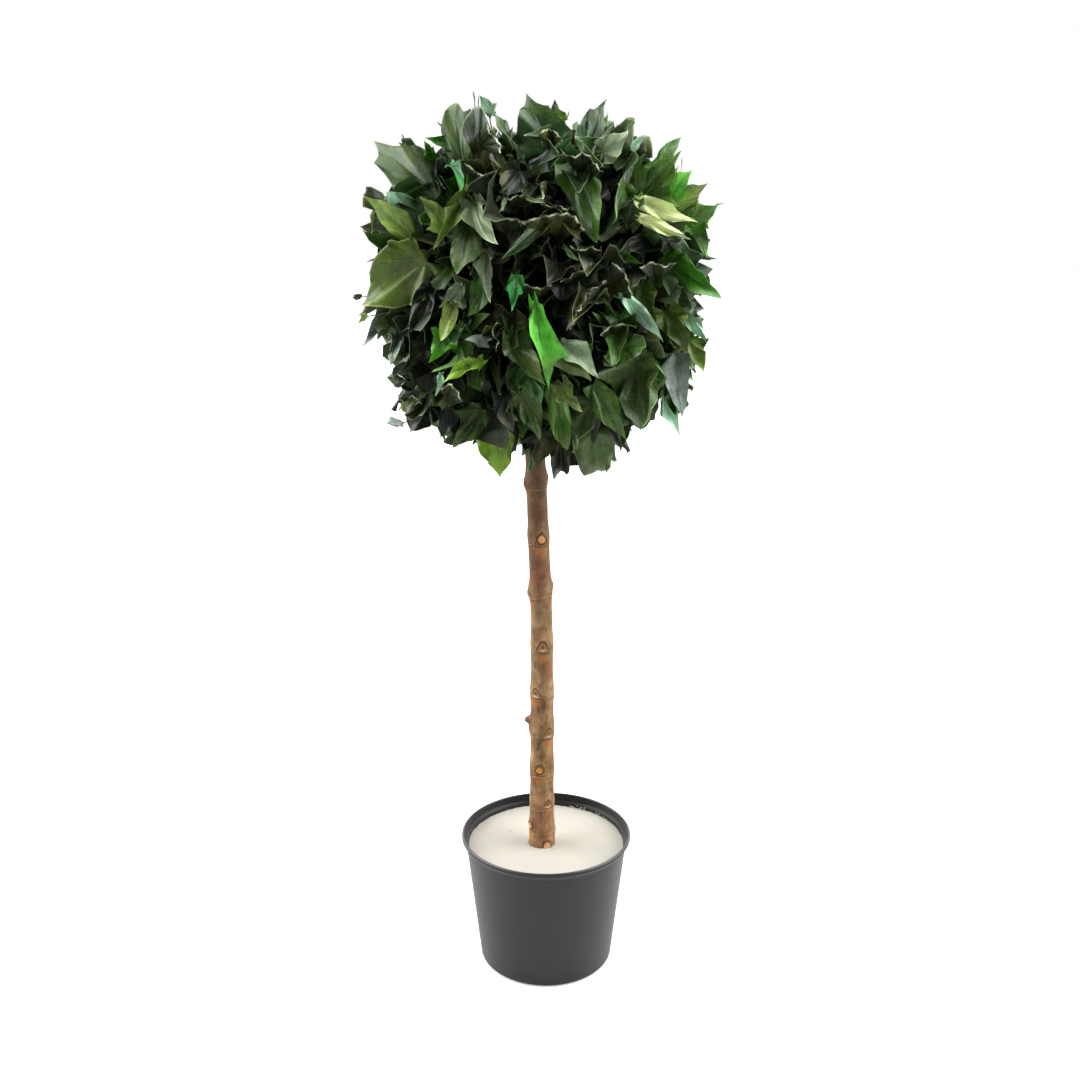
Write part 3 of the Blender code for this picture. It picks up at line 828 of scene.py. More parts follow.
def leaf_form(name, kind, meshing, dice):
    """A thin closed leaf from the origin to (0, 1, 0), its face towards +Z, with its own folds and waves."""
    between, rings, veined, strength, wavy = MESHING[meshing]
    ruffled = kind == "ruffle"
    # How it is folded along the rib, curled and twisted towards its tip, cupped, waved, swept and quilted
    fold = strength * dice.uniform(0.15, 0.95)
    curl = strength * dice.uniform(-0.7, 1.5)
    twist = strength * dice.uniform(-0.9, 0.9)
    cup = strength * dice.uniform(-0.45, 0.55)
    wave = wavy * dice.uniform(0.09, 0.17) * (1.5 if ruffled else 1.0)
    waves = dice.choice((5, 6, 7, 8))
    phase = dice.uniform(0, math.tau)
    flutter = wavy * dice.uniform(0.03, 0.07)
    sweep = dice.uniform(-0.24, 0.24)
    quilt = dice.uniform(0.012, 0.028)
    # Some blades carry the margin's pale colour in a band along their rim, a painted highlight
    pale_rim = ruffled or veined and dice.random() < PALE_RIMS
    right = half_columns(kind, between, veined, 1.0, dice)
    left = half_columns(LEFT_HALVES.get(kind, kind), between, veined, dice.uniform(0.88, 1.08), dice)
    # A sickle's lobe is on its left
    if kind == "sickle":
        right, left = left, right
    notch = OUTLINES[kind][0][0]
    tip = [] if veined else [(0.0, 1.0, 0, 0.0)]
    mirrored = [(-x, y, -flank, share) for x, y, flank, share in reversed(left)]
    columns = [(*notch, 0, 0.0), *right, *tip, *mirrored]
    verts = []

    def placed(x, y, share, gap, lift):
        """Point of the blade after its folds, waves, curl and twist."""
        clock = math.atan2(x, -y)
        z = fold * (math.sqrt(x * x + 0.0016) - 0.04)
        z += wave * share**2.2 * math.sin(waves * clock + phase)
        z += flutter * share**4 * math.sin((2 * waves + 3) * clock + 2.3 * phase)
        puff = math.sin(math.pi * gap) * math.sin(math.pi * min(share, 0.9))
        z += cup * (x * x - 0.5 * (y - 0.4) ** 2) + quilt * puff
        z += lift
        x += sweep * y * (1 - y)
        bend = curl * y
        if abs(curl) > 0.01:
            along, drop = math.sin(bend) / curl, (1 - math.cos(bend)) / curl
        else:
            along, drop = y, 0.0
        y, z = along + z * math.sin(bend), z * math.cos(bend) - drop
        turn = twist * y
        return (x * math.cos(turn) + z * math.sin(turn), y, z * math.cos(turn) - x * math.sin(turn))

    for lift in (LEAF_THICKNESS / 2, -LEAF_THICKNESS / 2):
        verts.append(placed(0, 0, 0, 0, lift))
        for share in rings:
            for x, y, flank, gap in columns:
                long = math.hypot(x, y)
                width = VEIN_WIDTH * (1 - 0.85 * share)
                across = (-y / long * flank * width, x / long * flank * width)
                verts.append(placed(x * share + across[0], y * share + across[1], share, gap, lift))
    count = len(columns)
    shell = 1 + count * len(rings)
    faces, parts = [], []
    for column in range(count):
        after = (column + 1) % count
        on_vein = columns[column][2] == -1 and columns[after][2] == 1
        for side, start in ((0, 0), (1, shell)):
            corners = [(start, start + 1 + column, start + 1 + after)]
            for ring in range(len(rings) - 1):
                inner, outer = start + 1 + ring * count, start + 1 + (ring + 1) * count
                corners.append((inner + column, outer + column, outer + after))
                corners.append((inner + column, outer + after, inner + after))
            for number, corner in enumerate(corners):
                at_rim = pale_rim and number >= len(corners) - 2
                faces.append(corner if side == 0 else tuple(reversed(corner)))
                parts.append(2 if at_rim else side if side or not on_vein else 3)
        rim = 1 + (len(rings) - 1) * count
        faces.append((rim + after, rim + column, shell + rim + column, shell + rim + after))
        parts.append(2)
    # The blade is turned and scaled so that its tip is at (0, 1, 0)
    points = np.array(verts)
    tips = [i for i, column in enumerate(columns) if abs(column[0]) < 0.02 and column[1] > 0.95]
    tip_point = points[[rim + i for i in tips]].mean(axis=0)
    turn = Vector(tip_point).rotation_difference(Vector((0, 1, 0)))
    points = np.array([(turn @ Vector(p)) / float(np.linalg.norm(tip_point)) for p in points])
    form = new_object(name, points.tolist(), faces)
    attach(form.data, "part", "INT", parts, "FACE")
    form.data.set_sharp_from_angle(angle=SHARP_TURN)
    bpy.context.scene.collection.objects.unlink(form)
    return form


def leaf_forms():
    """All leaf forms in a hidden collection, and the numbers of the forms of each kind and meshing."""
    collection = bpy.data.collections.new("leaf_forms")
    dice = random.Random(FORM_SEED)
    numbers = {}
    for kind in OUTLINES:
        for meshing in MESHING:
            for variant in range(FORMS_EACH):
                number = len(collection.objects)
                form = leaf_form(f"form_{number:03d}", kind, meshing, dice)
                collection.objects.link(form)
                numbers.setdefault((kind, meshing), []).append(number)
    return collection, numbers


def natural_width(kind):
    """Width of a kind's outline as a share of its length."""
    return 2 * max(x for x, y in OUTLINES[kind][0])


# Where the leaves grow


def spiral_leaf(layer, index, dice):
    """A leaf on the golden spiral by the source's rule: root, way, face, length, width and way out."""
    height_share = 1 - 2 * (index + 0.5) / layer["count"]
    turn = index * GOLDEN_TURN
    flat = math.sqrt(1 - height_share * height_share)
    outward = Vector((flat * math.cos(turn), flat * math.sin(turn), height_share))
    outward += PLACE_SCATTER * Vector([dice.uniform(-1, 1) for axis in range(3)])
    outward.normalize()
    downward = (outward * outward.z - Vector((0, 0, 1))).normalized()
    spread = 180 if abs(outward.z) > CAP_SHARE else TURN_SCATTER
    sideways = Matrix.Rotation(math.radians(dice.uniform(-spread, spread)), 3, outward) @ downward
    lean = math.radians(leaf_lean(outward.z) + layer["lean"] + dice.uniform(-LEAN_SCATTER, LEAN_SCATTER))
    along = (outward * math.cos(lean) + sideways * math.sin(lean)).normalized()
    roll = math.radians(dice.uniform(-ROLL_SCATTER, ROLL_SCATTER))
    face = Matrix.Rotation(roll, 3, along) @ (outward - along * outward.dot(along)).normalized()
    length = dice.uniform(*layer["lengths"])
    width = length * dice.uniform(*LEAF_WIDTH_SHARE)
    root = BALL_CENTRE + outward * ball_reach(outward) * dice.uniform(*layer["roots"])
    tip = root + along * length - BALL_CENTRE
    # A leaf that would stand out too far is shortened, a little more at the front and back
    way = tip.normalized()
    over = tip.length - ball_reach(way) * layer["reach"] * dice.uniform(0.86, 1.0) * (1 - 0.05 * way.y**2)
    if over > 0:
        length -= over / along.dot(way)
    if length < LEAF_SHORTEST:
        return None
    points = (root, root + along * length / 2, root + along * length)
    if not all(clear_of_trunk(point) for point in points):
        return None
    return root, along, face, length, min(width, length), outward


class StandingLeaf:
    """A leaf placed through the camera, and the patch of the picture that it covers."""

    def __init__(self, row):
        self.kind, self.tint, self.foot, self.point, self.share, roll, low, high = row
        self.root = on_ball(self.foot, low)
        tip = on_ball(self.point, high)
        self.along = (tip - self.root).normalized()
        self.length = (tip - self.root).length
        towards = CAMERA_PLACE - (self.root + tip) / 2
        face = (towards - self.along * towards.dot(self.along)).normalized()
        self.face = Matrix.Rotation(math.radians(roll), 3, self.along) @ face
        pixels = (Vector(self.point) - Vector(self.foot)).length
        middle = (self.root + tip) / 2
        self.width = pixels * self.share * (middle - CAMERA_PLACE).length / FOCAL_PIXELS
        self.width /= max(0.35, math.cos(math.radians(roll)))
        self.depths = (seen_at(self.root)[2], seen_at(tip)[2])

    def hidden_by(self, point):
        """Whether a point stands in front of this leaf in the picture."""
        x, y, depth = seen_at(point)
        axis = Vector(self.point) - Vector(self.foot)
        away = Vector((x, y)) - Vector(self.foot)
        share = away.dot(axis) / axis.length_squared
        if not 0.08 < share < 1.0:
            return False
        aside = abs(away.x * axis.y - away.y * axis.x) / axis.length
        half = axis.length * self.share / 2 * math.sin(math.pi * share**0.8)
        own = self.depths[0] + (self.depths[1] - self.depths[0]) * share
        return aside < half * 0.9 and depth < own + 0.004


class CurledLeaf:
    """A leaf seen edge on: a fan of blade from its stalk to a wavy rim that is drawn in the picture."""

    def __init__(self, row, dice):
        rim, foot, low, high = row
        columns = 9 * (len(rim) - 1)
        long = sum((Vector(b) - Vector(a)).length for a, b in zip(rim, rim[1:]))
        ripples = long / CURL_RIPPLE
        phase = dice.uniform(0, math.tau)
        self.root = on_ball(foot, low)
        self.pixels, self.rim, self.tones = [], [], []
        for column in range(columns + 1):
            share = column / columns
            spot = line_point(rim, share)
            before, after = max(0.0, share - 0.01), min(1.0, share + 0.01)
            way = (line_point(rim, after) - line_point(rim, before)).normalized()
            clock = math.tau * ripples * share + phase
            wave = 0.6 * math.sin(clock) + 0.7 * math.sin(1.73 * clock + 1.1) * math.sin(0.6 * clock)
            spot += Vector((-way.y, way.x)) * wave * CURL_SWING
            self.pixels.append(spot)
            self.rim.append(on_ball(spot, high + 0.012 * math.sin(0.45 * clock)))
            # Near the rim the tone swells and fades along it, painted glints
            self.tones.append(1 + 0.75 * math.sin(0.8 * clock + 2 * phase))
        self.depth = sum(seen_at(point)[2] for point in self.rim) / len(self.rim)

    def hidden_by(self, point):
        """Whether a point stands in front of this leaf's rim in the picture."""
        x, y, depth = seen_at(point)
        if depth >= self.depth + 0.006:
            return False
        return any((spot - Vector((x, y))).length < 7 for spot in self.pixels[::4])

    def mesh(self, verts, tones, faces, parts):
        """Adds the closed blade to the points, their tones, and the faces and finish numbers of a piece."""
        shares = (0.0, 0.3, 0.6, 0.82, 0.955, 1.0)
        start, count = len(verts), len(self.rim)
        for side in (1, -1):
            for share in shares:
                for column, point in enumerate(self.rim):
                    after, before = self.rim[min(column + 1, count - 1)], self.rim[max(column - 1, 0)]
                    normal = (after - before).cross(point - self.root).normalized()
                    spread = 0.05 + 0.95 * share**0.8
                    middle = self.root.lerp(self.rim[count // 2], share)
                    if share:
                        spot = middle.lerp(self.root.lerp(point, share), min(1.0, spread / max(share, 0.05)))
                    else:
                        spot = self.root + (point - self.root) * 0.04
                    spot += normal * (0.004 * math.sin(math.pi * share) + side * CURL_THICKNESS / 2)
                    verts.append(tuple(spot))
                    tones.append(self.tones[column] if share > 0.9 else 1.0)
        shell = count * len(shares)
        last = len(shares) - 1
        for column in range(count - 1):
            for ring in range(last):
                corner = start + ring * count + column
                square = (corner, corner + 1, corner + count + 1, corner + count)
                faces += [square, tuple(shell + index for index in reversed(square))]
                parts += [2, 2] if ring == last - 1 else [0, 1]
            for ring in (0, last):
                corner = start + ring * count + column
                square = (corner, corner + 1, shell + corner + 1, shell + corner)
                faces.append(square if ring else tuple(reversed(square)))
                parts.append(2)
        for ring in range(last):
            for column in (0, count - 1):
                corner = start + ring * count + column
                square = (corner, corner + count, shell + corner + count, shell + corner)
                faces.append(square if column == 0 else tuple(reversed(square)))
                parts.append(2)


def curled_piece(curled, finishes):
    """All curled leaves as one piece."""
    verts, tones, faces, parts = [], [], [], []
    for one in curled:
        one.mesh(verts, tones, faces, parts)
    piece = new_object("leaves_curled", verts, faces, finishes)
    piece.data.polygons.foreach_set("material_index", parts)
    attach(piece.data, "tone", "FLOAT", tones)
    turn_outwards(piece.data)
    piece.data.set_sharp_from_angle(angle=SHARP_TURN)
    return piece


def covers_standing(leaf, standing):
    """Whether a leaf would hide a standing or a curled leaf in the picture."""
    root, along, face, length, width = leaf[:5]
    if root.y > BALL_CENTRE.y + BACK_ROOTS:
        return False
    across = along.cross(face)
    spots = [root + along * length * share for share in (0.2, 0.45, 0.7, 0.95)]
    spots += [root + along * length * 0.35 + across * width * side for side in (-0.4, 0.4)]
    return any(one.hidden_by(spot) for spot in spots for one in standing)


def in_notch(leaf):
    """Whether a leaf reaches into a notch of the ball's outline in the picture."""
    root, along, face, length, width = leaf[:5]
    across = along.cross(face)
    spots = [root + along * length * share for share in (0.4, 0.6, 0.8, 1.0)]
    spots += [
        root + along * length * share + across * width * side
        for share, side in ((0.1, -0.4), (0.1, 0.4), (0.35, -0.45), (0.35, 0.45), (0.65, -0.3), (0.65, 0.3))
    ]
    seen = [Vector(seen_at(spot)[:2]) for spot in spots]
    return any((spot - Vector(middle)).length < radius for spot in seen for middle, radius in NOTCHES)


def choose_tint(rank):
    """Tint at a rank from 0, the darkest, to 1, the brightest."""
    total = sum(share for tint, share in TINT_SHARES)
    left = rank * total
    for tint, share in TINT_SHARES:
        left -= share
        if left <= 0:
            return tint
    return TINT_SHARES[-1][0]


def all_leaves(numbers):
    """Leaves by tint, as root, way, face, size, form number and tone; their stalks; and the curled leaves."""
    dice = random.Random(SEED)
    standing = [StandingLeaf(row) for row in STANDING_LEAVES]
    curled_dice = random.Random(SEED + 2)
    curled = [CurledLeaf(row, curled_dice) for row in CURLED_LEAVES]
    by_tint = {tint: [] for tint in TINTS}
    stalks = []
    for one in standing:
        size = (one.width / natural_width(one.kind), one.length, (one.length + one.width) / 2)
        form = dice.choice(numbers[one.kind, "standing"])
        by_tint[one.tint].append((one.root, one.along, one.face, size, form, 1.0))
        stalks.append((one.root, one.along))
    for name, layer in LAYERS.items():
        for index in range(layer["count"]):
            leaf = spiral_leaf(layer, index, dice)
            kind = dice.choice(layer["kinds"])
            rank = dice.random()
            form = dice.choice(numbers[kind, layer["meshing"]])
            if leaf is None or covers_standing(leaf, standing + curled) or in_notch(leaf):
                continue
            root, along, face, length, width, outward = leaf
            # Painted light: leaves at the top and the right of the ball, where most light falls, take
            # brighter tints
            rank = rank * 0.9 + 0.06 * outward.z + 0.08 * outward.x + layer["painted_light"] + 0.03
            rank = min(1.0, max(0.0, rank))
            size = (width / natural_width(kind), length, (length + width) / 2)
            tone = math.exp(dice.uniform(-TONE_SCATTER, TONE_SCATTER))
            # Painted light at the ball's foot, and painted shade at its front
            tone *= 1 + LOW_PAINTED_LIGHT * max(0.0, -outward.z) + FRONT_PAINTED_SHADE * max(0.0, -outward.y - 0.6) / 0.4
            by_tint[choose_tint(rank)].append((root, along, face, size, form, tone))
            if name != "cover":
                stalks.append((root, along))
    return by_tint, stalks, curled


def leaves_tree():
    """Puts a leaf form on every point, turned by its way and face, and ripples each a little differently."""
    tree, source, result = new_tree(
        "Leaves",
        [
            ("Forms", "Collection", None),
            ("Ripple", "Float", 0.004),
            ("Ripple Size", "Float", 0.045),
            *[(part, "Material", None) for part in LEAF_PARTS],
        ],
    )
    named = {}
    for kind, labels in (("FLOAT_VECTOR", ("along", "face", "size")), ("INT", ("form", "part"))):
        for label in labels:
            named[label] = add(tree, "GeometryNodeInputNamedAttribute", {"Name": label}, data_type=kind)
    axes = {"Primary Axis": named["face"], "Secondary Axis": named["along"]}
    turn = add(tree, "FunctionNodeAxesToRotation", axes, primary_axis="Z", secondary_axis="Y")
    apart = {"Collection": source.outputs["Forms"], "Separate Children": True, "Reset Children": True}
    placing = {
        "Points": source.outputs["Geometry"],
        "Instance": add(tree, "GeometryNodeCollectionInfo", apart),
        "Pick Instance": True,
        "Instance Index": named["form"],
        "Rotation": turn,
        "Scale": named["size"],
    }
    placed = add(tree, "GeometryNodeInstanceOnPoints", placing)
    joined = add(tree, "GeometryNodeRealizeInstances", {"Geometry": placed})
    scale = add(tree, "ShaderNodeMath", {0: 1.0, 1: source.outputs["Ripple Size"]}, operation="DIVIDE")
    ripple = add(tree, "ShaderNodeTexNoise", {"Scale": scale, "Detail": 1.0}).outputs["Color"]
    centred = add(tree, "ShaderNodeVectorMath", {0: ripple, 1: (0.5, 0.5, 0.5)}, operation="SUBTRACT")
    doubled = add(tree, "ShaderNodeMath", {0: source.outputs["Ripple"], 1: 4.0}, operation="MULTIPLY")
    moved = add(tree, "ShaderNodeVectorMath", {0: centred, "Scale": doubled}, operation="SCALE")
    geometry = add(tree, "GeometryNodeSetPosition", {"Geometry": joined, "Offset": moved})
    for number, label in enumerate(LEAF_PARTS):
        parts = {2: named["part"], 3: number}
        chosen = add(tree, "FunctionNodeCompare", parts, data_type="INT", operation="EQUAL")
        dressed = {"Geometry": geometry, "Selection": chosen, "Material": source.outputs[label]}
        geometry = add(tree, "GeometryNodeSetMaterial", dressed)
    feed(result, {0: geometry})
    return tree


def points_object(name, leaves):
    """Loose points that carry each leaf's way, face, size, form number and tone."""
    roots, ways, faces, sizes, forms, tones = zip(*leaves)
    obj = new_object(name, [tuple(root) for root in roots])
    for label, vectors in (("along", ways), ("face", faces), ("size", sizes)):
        attach(obj.data, label, "FLOAT_VECTOR", [component for vector in vectors for component in vector])
    attach(obj.data, "form", "INT", forms)
    attach(obj.data, "tone", "FLOAT", tones)
    return obj


def stalks_tree():
    """Sweeps a small round section along every path, as thick as its points say."""
    tree, source, result = new_tree("Stalks", [("Sides", "Int", 5), ("Stalk", "Material", None)])
    path = add(tree, "GeometryNodeMeshToCurve", {"Mesh": source.outputs["Geometry"]})
    thick = add(tree, "GeometryNodeInputNamedAttribute", {"Name": "thick"}, data_type="FLOAT")
    circle = {"Resolution": source.outputs["Sides"], "Radius": 1.0}
    section = add(tree, "GeometryNodeCurvePrimitiveCircle", circle)
    sweep = {"Curve": path, "Profile Curve": section, "Scale": thick, "Fill Caps": True}
    swept = add(tree, "GeometryNodeCurveToMesh", sweep)
    solid = add(tree, "GeometryNodeRealizeInstances", {"Geometry": swept})
    dressed = add(tree, "GeometryNodeSetMaterial", {"Geometry": solid, "Material": source.outputs["Stalk"]})
    feed(result, {0: dressed})
    return tree


def paths_object(name, paths):
    """Open paths of (point, radius), joined in one mesh of edges."""
    verts, edges, thick = [], [], []
    for path in paths:
        start = len(verts)
        for point, radius in path:
            verts.append(tuple(point))
            thick.append(radius)
        edges += [(start + i, start + i + 1) for i in range(len(path) - 1)]
    obj = new_object(name, verts, edges=edges)
    attach(obj.data, "thick", "FLOAT", thick)
    return obj


# Settings that a user would change


class StageSettings(bpy.types.PropertyGroup):
    """Floor and light."""

    floor_colour: bpy.props.StringProperty(name="Floor colour", description="sRGB hex", default="#fefefe")
    bounce_colour: bpy.props.StringProperty(
        name="Bounce colour", description="sRGB hex of what the floor throws back", default="#9a9a9a"
    )
    floor_radius: bpy.props.FloatProperty(
        name="Floor radius", description="Radius of the round floor", default=14.0, unit="LENGTH"
    )
    sky_strength: bpy.props.FloatProperty(
        name="Sky strength", description="Brightness of the white surroundings", default=0.10
    )
    backdrop_strength: bpy.props.FloatProperty(
        name="Backdrop strength", description="Brightness of the white backdrop behind the plant", default=1.5
    )
    key_strength: bpy.props.FloatProperty(
        name="Key strength", description="Strength of the soft light from the right", default=3.1
    )


class PotSettings(bpy.types.PropertyGroup):
    """Moulded pot."""

    colour: bpy.props.StringProperty(name="Pot colour", description="sRGB hex", default="#1f201f")
    inside_colour: bpy.props.StringProperty(name="Inside colour", description="sRGB hex", default="#171817")
    sides: bpy.props.IntProperty(name="Sides", description="Faces round the pot", default=192)


class PlasterSettings(bpy.types.PropertyGroup):
    """Plaster fill."""

    colour: bpy.props.StringProperty(name="Plaster colour", description="sRGB hex", default="#c2beb4")
    relief: bpy.props.FloatProperty(
        name="Relief", description="Height of the trowelled relief", default=0.0005, unit="LENGTH"
    )


class TrunkSettings(bpy.types.PropertyGroup):
    """Bark."""

    colour: bpy.props.StringProperty(name="Bark colour", description="sRGB hex", default="#a88156")
    sides: bpy.props.IntProperty(name="Sides", description="Faces round the trunk", default=112)
    row: bpy.props.FloatProperty(
        name="Row", description="Height of a row of faces", default=0.0010, unit="LENGTH"
    )


class BallSettings(bpy.types.PropertyGroup):
    """Ivy ball."""

    core_share: bpy.props.FloatProperty(
        name="Core share", description="Core radius as a share of the ball", default=0.56, subtype="FACTOR"
    )
    core_colour: bpy.props.StringProperty(name="Core colour", description="sRGB hex", default="#12160f")
    ripple: bpy.props.FloatProperty(
        name="Ripple", description="How far the leaves ripple", default=0.004, unit="LENGTH"
    )
    stalk_radius: bpy.props.FloatProperty(
        name="Stalk radius", description="Radius of a leaf stalk", default=0.0009, unit="LENGTH"
    )


# Operators


class TOPIARY_OT_stage(bpy.types.Operator):
    """Makes the pale floor, the soft light and the camera"""

    bl_idname = "topiary.stage"
    bl_label = "Stage"

    def execute(self, context):
        settings = context.scene.topiary_stage
        scene = context.scene
        scene.view_settings.view_transform = "Standard"
        material, tree, shader = new_material("floor_card", Roughness=1.0, Specular_IOR_Level=0.0)
        # The floor glows a little to the eye, which softens the shadow on it, and it throws less light on the
        # plant than it shows, as if it ended near the pot
        seen = add(tree, "ShaderNodeLightPath").outputs["Is Camera Ray"]
        glow = add(tree, "ShaderNodeMath", {0: seen, 1: 0.30}, operation="MULTIPLY")
        floor_colour = linear(settings.floor_colour)
        both = {"Factor": seen, "A": linear(settings.bounce_colour), "B": floor_colour}
        paper = add(tree, "ShaderNodeMix", both, data_type="RGBA")
        feed(shader, {"Base Color": paper, "Emission Color": floor_colour, "Emission Strength": glow})
        rings = [((0, 0, height), settings.floor_radius) for height in (-0.02, 0)]
        floor = rings_mesh("floor", rings, 96, [material])
        floor.data.shade_flat()
        world = bpy.data.worlds.new("studio")
        world.use_nodes = True
        tree = world.node_tree
        # The backdrop is pure white to the eye; it lights the plant more gently, and most from behind
        way = add(tree, "ShaderNodeTexCoord").outputs["Generated"]
        behind = add(tree, "ShaderNodeSeparateXYZ", {"Vector": way}).outputs["Y"]
        ends = {"To Min": settings.sky_strength, "To Max": settings.backdrop_strength}
        glow = add(tree, "ShaderNodeMapRange", {"Value": behind, "From Min": -0.45, "From Max": 0.9, **ends})
        seen = add(tree, "ShaderNodeLightPath").outputs["Is Camera Ray"]
        strength = add(tree, "ShaderNodeMapRange", {"Value": seen, "To Min": glow, "To Max": 1.0})
        feed(tree.nodes["Background"], {"Color": (1, 1, 1, 1), "Strength": strength})
        scene.world = world
        for name, place, spread, strength in (
            ("key", (2.1, -0.25, 1.5), 58, settings.key_strength),
            ("left", (-2.1, 0.1, 1.3), 62, settings.key_strength * 0.98),
            ("top", (0.1, 0.2, 2.4), 60, settings.key_strength * 0.18),
        ):
            light = bpy.data.lights.new(name, "SUN")
            light.angle = math.radians(spread)
            light.energy = strength
            lamp = bpy.data.objects.new(name, light)
            lamp.location = place
            lamp.rotation_euler = (-Vector(place)).to_track_quat("-Z", "Y").to_euler()
            scene.collection.objects.link(lamp)
        camera = bpy.data.objects.new("camera", bpy.data.cameras.new("camera"))
        camera.data.sensor_width = SENSOR_MM
        camera.data.lens = SENSOR_MM * FOCAL_PIXELS / PHOTO_SIDE
        camera.location = CAMERA_PLACE
        camera.rotation_euler = (math.pi / 2 - CAMERA_PITCH, 0, 0)
        scene.collection.objects.link(camera)
        scene.camera = camera
        return {"FINISHED"}


class TOPIARY_OT_pot(bpy.types.Operator):
    """Makes the moulded pot with its rolled lip"""

    bl_idname = "topiary.pot"
    bl_label = "Pot"

    def execute(self, context):
        settings = context.scene.topiary_pot
        # Polypropylene, injection moulded: dark satin grey with a fine moulded grain and faint scuffs
        material, tree, shader = new_material("polypropylene_moulded", Roughness=0.42)
        place = add(tree, "ShaderNodeTexCoord").outputs["Object"]
        # Cloudy scuffing about 60 mm across
        clouds = {"Vector": place, "Scale": 16.0, "Detail": 5.0, "Roughness": 0.6}
        scuff = add(tree, "ShaderNodeTexNoise", clouds)
        scuffed = {"Factor": scuff, "A": linear(settings.colour), "B": linear("#2f302f")}
        mix = add(tree, "ShaderNodeMix", scuffed, data_type="RGBA")
        # Painted shade: the foot is darker over its lowest 30 mm, and so is the lip's face, while the lip's
        # crest is painted lighter, a painted highlight
        level = add(tree, "ShaderNodeSeparateXYZ", {"Vector": place}).outputs["Z"]
        rise = {"Value": level, "From Max": 0.030, "To Min": 0.84, "To Max": 1.24}
        foot_shade = add(tree, "ShaderNodeMapRange", rise)
        up_lip = add(tree, "ShaderNodeMapRange", {"Value": level, "From Min": 0.180, "From Max": POT_HEIGHT})
        lip_shade = add(tree, "ShaderNodeValToRGB", {"Fac": up_lip})
        stops = lip_shade.color_ramp.elements
        stops[0].color = (0.70, 0.70, 0.70, 1)
        for at, grey in ((0.35, 0.66), (0.50, 0.22), (0.82, 0.22)):
            stops.new(at).color = (grey, grey, grey, 1)
        shade = add(tree, "ShaderNodeMath", {0: foot_shade, 1: lip_shade}, operation="MULTIPLY")
        # The inside is darker: partly clean, unscuffed plastic, partly painted shade inside the pot
        inside = add(tree, "ShaderNodeAttribute", attribute_name="inside").outputs["Fac"]
        clean_and_shaded_mix = {"Factor": inside, "A": mix, "B": linear(settings.inside_colour)}
        clean_and_shaded = add(tree, "ShaderNodeMix", clean_and_shaded_mix, data_type="RGBA")
        colour_with_painted_light = add(tree, "ShaderNodeVectorMath", {0: clean_and_shaded, "Scale": shade}, operation="SCALE")
        for socket, outer, inner in (("Specular IOR Level", 0.85, 0.40), ("Sheen Weight", 0.33, 0.05)):
            value = add(tree, "ShaderNodeMapRange", {"Value": inside, "To Min": outer, "To Max": inner})
            feed(shader, {socket: value})
        rough = {"Value": scuff, "From Min": 0.3, "From Max": 0.7, "To Min": 0.28, "To Max": 0.38}
        feed(shader, {"Base Color": colour_with_painted_light, "Roughness": add(tree, "ShaderNodeMapRange", rough)})
        # Moulded grain, drawn at about 1.5 mm so that it shows
        roughened(tree, shader, place, 650.0, 2.0, 0.12, 0.0003)

        lip_under = POT_HEIGHT - LIP_DEPTH
        flare = lip_under - FLARE_DEPTH
        foot = pot_wall_radius(POT_FOOT_ROUND) - POT_FOOT_ROUND
        profile = list(FOOT_STEP)
        for step in range(9):
            turn = math.radians(-90 + 90 * step / 8)
            profile.append((foot + POT_FOOT_ROUND * math.cos(turn), POT_FOOT_ROUND * (1 + math.sin(turn))))
        for step in range(1, 13):
            height = POT_FOOT_ROUND + (flare - POT_FOOT_ROUND) * step / 12
            profile.append((pot_wall_radius(height), height))
        for step in range(1, 7):
            share = step / 6
            out = POT_LIP_RADIUS - 0.0014 - POT_NECK_RADIUS
            profile.append((POT_NECK_RADIUS + out * share**1.8, flare + (lip_under - flare) * share))
        for middle, start, end in ((lip_under + LIP_ROUND * 0.6, -60, 0), (POT_HEIGHT - LIP_ROUND, 0, 95)):
            bend = LIP_ROUND if start == 0 else LIP_ROUND * 0.6
            for step in range(7):
                turn = math.radians(start + (end - start) * step / 6)
                across = POT_LIP_RADIUS - bend + bend * math.cos(turn)
                profile.append((across, middle + bend * math.sin(turn)))
        crest = len(profile)
        profile += LEDGE
        for step in range(1, 9):
            height = LEDGE_FOOT + (POT_FLOOR + 0.002 - LEDGE_FOOT) * step / 8
            profile.append((pot_wall_radius(height) - POT_WALL, height))
        inner = pot_wall_radius(POT_FLOOR) - POT_WALL
        profile += [(inner - 0.0015, POT_FLOOR + 0.0004), (inner - 0.004, POT_FLOOR), (0.0, POT_FLOOR)]
        rings = [((0, 0, height), radius) for radius, height in profile]
        pot = rings_mesh("pot_moulded", rings[1:-1], settings.sides, [material])
        pot.data.set_sharp_from_angle(angle=math.radians(50))
        outer_points = 1 + (crest - 1) * settings.sides
        shares = [0.0] * outer_points + [1.0] * (len(pot.data.vertices) - outer_points)
        attach(pot.data, "inside", "FLOAT", shares)
        belongs(pot, "pot")
        return {"FINISHED"}


def plaster_height(x, y, relief):
    """Relief of the trowelled plaster, with its meniscus at the trunk and at the pot's wall."""
    place = Vector((x, y, 0))
    rough = noise.noise(place * 45) + 0.5 * noise.noise(place * 110) + 0.25 * noise.noise(place * 320)
    away = math.hypot(x - TRUNK_PLACE.x, y - TRUNK_PLACE.y) - TRUNK_FOOT_RADIUS
    rim = pot_wall_radius(PLASTER_TOP) - POT_WALL - math.hypot(x, y)
    ragged = 0.6 + 0.8 * noise.noise(place * 160)
    climb = 0.0014 * math.exp(-max(away, 0) / 0.0022) + 0.0012 * math.exp(-max(rim, 0) / 0.0016)
    return relief * rough + climb * ragged


